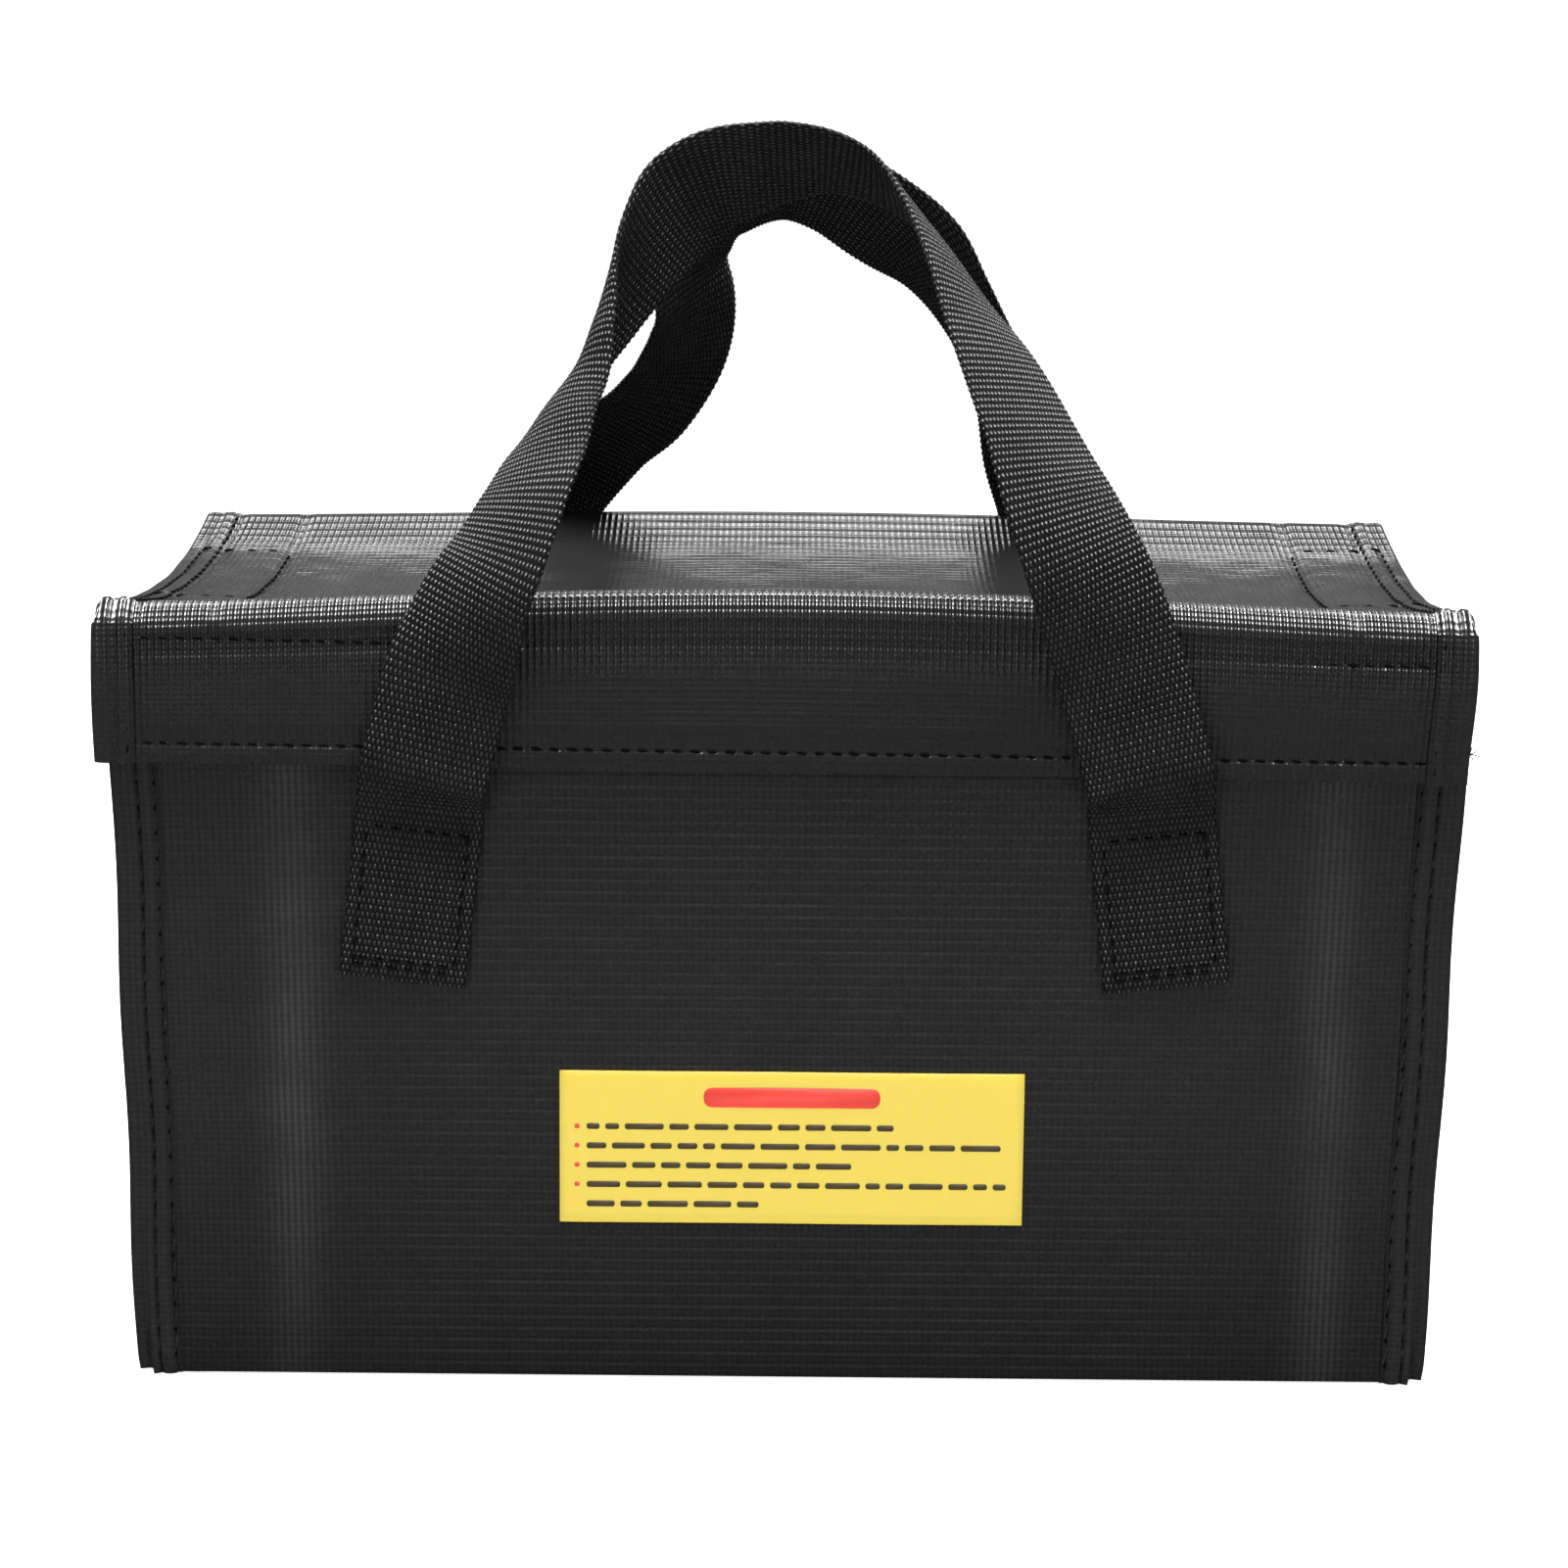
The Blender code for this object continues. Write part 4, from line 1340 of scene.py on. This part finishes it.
def make_handle(name, route, face, body):
    """One strap. Its ribs and scalloped edges are in the mesh, with ROW_STATIONS rings to a row of weave."""
    step = WEAVE_ROW / ROW_STATIONS
    stations = handle_stations(route, face, step)
    columns = STRAP_COLUMNS
    half = WEBBING_WIDTH / 2
    points, uvs = [], []
    outward = Vector((0, face, 0))
    for i, (spot, turn, curl) in enumerate(stations):
        ahead = stations[min(i + 6, len(stations) - 1)][0] - stations[max(i - 6, 0)][0]
        ahead.normalize()
        facing = (outward - outward.dot(ahead) * ahead).normalized()
        facing = Matrix.Rotation(math.radians(turn), 3, ahead) @ facing
        side = ahead.cross(facing)
        bend = math.radians(curl) / WEBBING_WIDTH
        rib = math.cos(2 * math.pi * i / ROW_STATIONS)
        scallop = SCALLOP * rib
        for skin in (1, -1):
            order = range(columns + 1) if skin > 0 else range(columns, -1, -1)
            for k in order:
                s = between(-half - scallop, half + scallop, k / columns)
                if abs(bend) > 1e-5:
                    level = Vector((math.sin(s * bend) / bend, -(1 - math.cos(s * bend)) / bend))
                    tilt = s * bend
                else:
                    level, tilt = Vector((s, 0.0)), 0.0
                edge = min(k, columns - k)
                thick = (WEBBING_THICKNESS / 2 - 0.1) * (0.3, 0.7, 0.92, 1.0)[min(edge, 3)]
                out = facing * math.cos(tilt) + side * math.sin(tilt)
                pairs = 0.75 + 0.25 * math.cos(2 * math.pi * s / WEAVE_ACROSS)
                height = skin * (thick + RIB_HEIGHT * (0.5 + 0.5 * rib) * pairs * (0.3 if edge < 1 else 1.0))
                points.append(spot + side * level.x + facing * level.y + out * height)
                uvs.append((s + skin * WEAVE_ACROSS * 20, i * step))
    faces = tube_faces(len(stations), 2 * (columns + 1))
    strap = piece(name, points, faces, uvs, WEBBING)
    side_name = body.split("_")[0]
    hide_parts(body, f"{side_name}_left_webbing_end", f"{side_name}_right_webbing_end")
    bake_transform(strap)


def make_box_stitching():
    """A stitched rectangle through each sewn end of webbing."""
    for side, face in (("front", -1), ("back", 1)):
        for end, sign in (("left", -1), ("right", 1)):
            lean = Vector((-sign * math.sin(PATCH_TILT), 0, math.cos(PATCH_TILT)))
            across = Vector((lean.z, 0, -lean.x))
            centre = Vector((sign * PATCH_CENTRE.x, face * PATCH_CENTRE.y, PATCH_CENTRE.z))
            out = Vector((0, face, 0))
            half_w, half_h = WEBBING_WIDTH / 2 - PATCH_MARGIN, PATCH_LENGTH / 2 - PATCH_MARGIN
            lift = out * (WEBBING_THICKNESS / 2 + 0.12)

            def line(start, way, out=out):
                return lambda s: (start + way * s, out)

            corner = centre + lift - across * half_w - lean * half_h
            far = centre + lift + across * half_w + lean * half_h
            rows = [(line(corner, across), 0, 2 * half_w), (line(corner, lean), 0, 2 * half_h)]
            rows += [(line(far, -across), 0, 2 * half_w), (line(far, -lean), 0, 2 * half_h)]
            rows += [(line(corner + lean * 1.4, across), 0.8, 2 * half_w)]
            name = f"{side}_{end}_patch_stitching"
            stitches = stitch_rows(name, rows, 1.9, 1.2, 0.19, 0.1)
            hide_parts(f"{side}_{end}_box_stitch")
            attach(stitches, "box")


# ---------------------------------------------------------------- stage, lights and camera


def make_stage():
    bpy.ops.mesh.primitive_plane_add(size=8.0, location=(0, 1.5, -0.0002))
    floor = bpy.context.object
    floor.name = "studio_floor"
    finish = Finish("pale_floor", None)
    finish.set(Base_Color=(0.6, 0.6, 0.6, 1), Roughness=0.9, Specular_IOR_Level=0.1)
    finish.set(Emission_Color=(1, 1, 1, 1), Emission_Strength=0.75)
    floor.data.materials.append(finish.material)
    floor.visible_glossy = False


def make_world():
    """White to the camera. As light: bright behind and above the bag, and dim before it."""
    world = bpy.data.worlds.new("studio")
    bpy.context.scene.world = world
    world.use_nodes = True
    world.node_tree.nodes.clear()
    sky = Nodes(world.node_tree)
    _, back, up = sky.split(sky.node("ShaderNodeTexCoord").outputs["Generated"])
    behind = back.ranged(0.72, 0.98, 0.0, BACK_LIGHT, "SMOOTHSTEP")
    above = up.ranged(0.15, 0.9, 0.0, SKY_LIGHT, "SMOOTHSTEP")
    level = (behind + above + FRONT_LIGHT) * up.ranged(-0.35, 0.1, 0.5, 1.0, "SMOOTHSTEP")
    dim = sky.node("ShaderNodeBackground", {"Strength": level}).outputs[0]
    bright = sky.node("ShaderNodeBackground", {"Strength": 1.0, "Color": (1, 1, 1, 1)}).outputs[0]
    seen = sky.node("ShaderNodeLightPath").outputs["Is Camera Ray"]
    mixed = sky.node("ShaderNodeMixShader", {0: seen, 1: dim, 2: bright}).outputs[0]
    sky.node("ShaderNodeOutputWorld", {0: mixed})


def softbox(name, location, target, size, power):
    light = bpy.data.lights.new(name, "AREA")
    light.shape = "RECTANGLE"
    light.size, light.size_y = size
    light.energy = power
    item = bpy.data.objects.new(name, light)
    item.location = location
    aim = Vector(target) - Vector(location)
    item.rotation_euler = aim.to_track_quat("-Z", "Y").to_euler()
    bpy.context.scene.collection.objects.link(item)


def make_camera():
    """A long lens nearly square to the front, tilted down and rolled a little."""
    forward = Vector((0, math.cos(CAMERA_TILT), -math.sin(CAMERA_TILT)))
    level_up = Vector((0, math.sin(CAMERA_TILT), math.cos(CAMERA_TILT)))
    right = Vector((1, 0, 0)) * math.cos(CAMERA_ROLL) + level_up * math.sin(CAMERA_ROLL)
    up = right.cross(forward)
    camera = bpy.data.objects.new("camera", bpy.data.cameras.new("camera"))
    turn = Matrix((right, up, -forward)).transposed().to_4x4()
    camera.matrix_world = Matrix.Translation(CAMERA_PLACE) @ turn
    camera.data.sensor_width = 36.0
    camera.data.lens = CAMERA_LENS
    camera.data.clip_start = 0.05
    camera.data.clip_end = 50.0
    bpy.context.scene.collection.objects.link(camera)
    bpy.context.scene.camera = camera


bpy.context.scene.view_settings.view_transform = "Standard"
LID_CALM = (cloth_length("top", 38.0), cloth_length("top", LID_FRONT + 5.5))
BAG_CLOTH = coated_cloth("bag_cloth", emboss=0.25, sheen_bands=PAINTED_SHEEN_BANDS)
LID_CLOTH = coated_cloth("lid_cloth", emboss=0.36, rough=0.17, calm=LID_CALM, sewn=True)
EDGE_CLOTH = coated_cloth("edge_cloth", "binding_cloth", 0.20, 0.012, 0.31, shaded_grooves=SEAM_ROWS)
LINING = lining_cloth()
FELT = felt()
BINDING = binding_cloth()
HOOK = tape("hook_pile", "hook_tape", 1.1, 0.012)
LOOP = tape("loop_pile", "loop_tape", 0.7, 0.014)
WEBBING = webbing()
THREAD = thread("sewing_thread", 0.8, 0.003, 0.03)
SHINY_THREAD = thread("seam_thread", 0.32, 0.03, 0.6)
YELLOW = film("label_yellow", (0.585, 0.452, 0.050, 1), (0.605, 0.468, 0.056, 1), 0.45)
RED = film("label_red", (0.62, 0.03, 0.02, 1), (0.70, 0.05, 0.03, 1), 0.5)
INK = film("label_ink", (0.05, 0.035, 0.01, 1), (0.07, 0.05, 0.015, 1), 0.5)

make_camera()
make_stage()
make_world()
softbox("top_light", (0, 0.0, 1.0), (0, 0.0, 0.1), (1.2, 0.8), 46.0)
softbox("back_light", (0, 0.84, 0.78), (0, 0.05, 0.16), (1.6, 0.22), 9.0)
softbox("front_fill", (-0.3, -1.4, 1.1), (0, 0, 0.1), (0.8, 0.6), 1.8)

make_body()
make_seams()
make_label()
make_rim()
cover, cover_cut = make_lid_cover()
cover_cut[0] * MM
cover_cut[1] * MM
make_lid_ends()
make_lid_inside()
make_lid_stitching()
make_flaps()
make_handle("front_webbing", FRONT_ROUTE, -1, "front_handle")
make_handle("back_webbing", BACK_ROUTE, 1, "back_handle")
make_box_stitching()
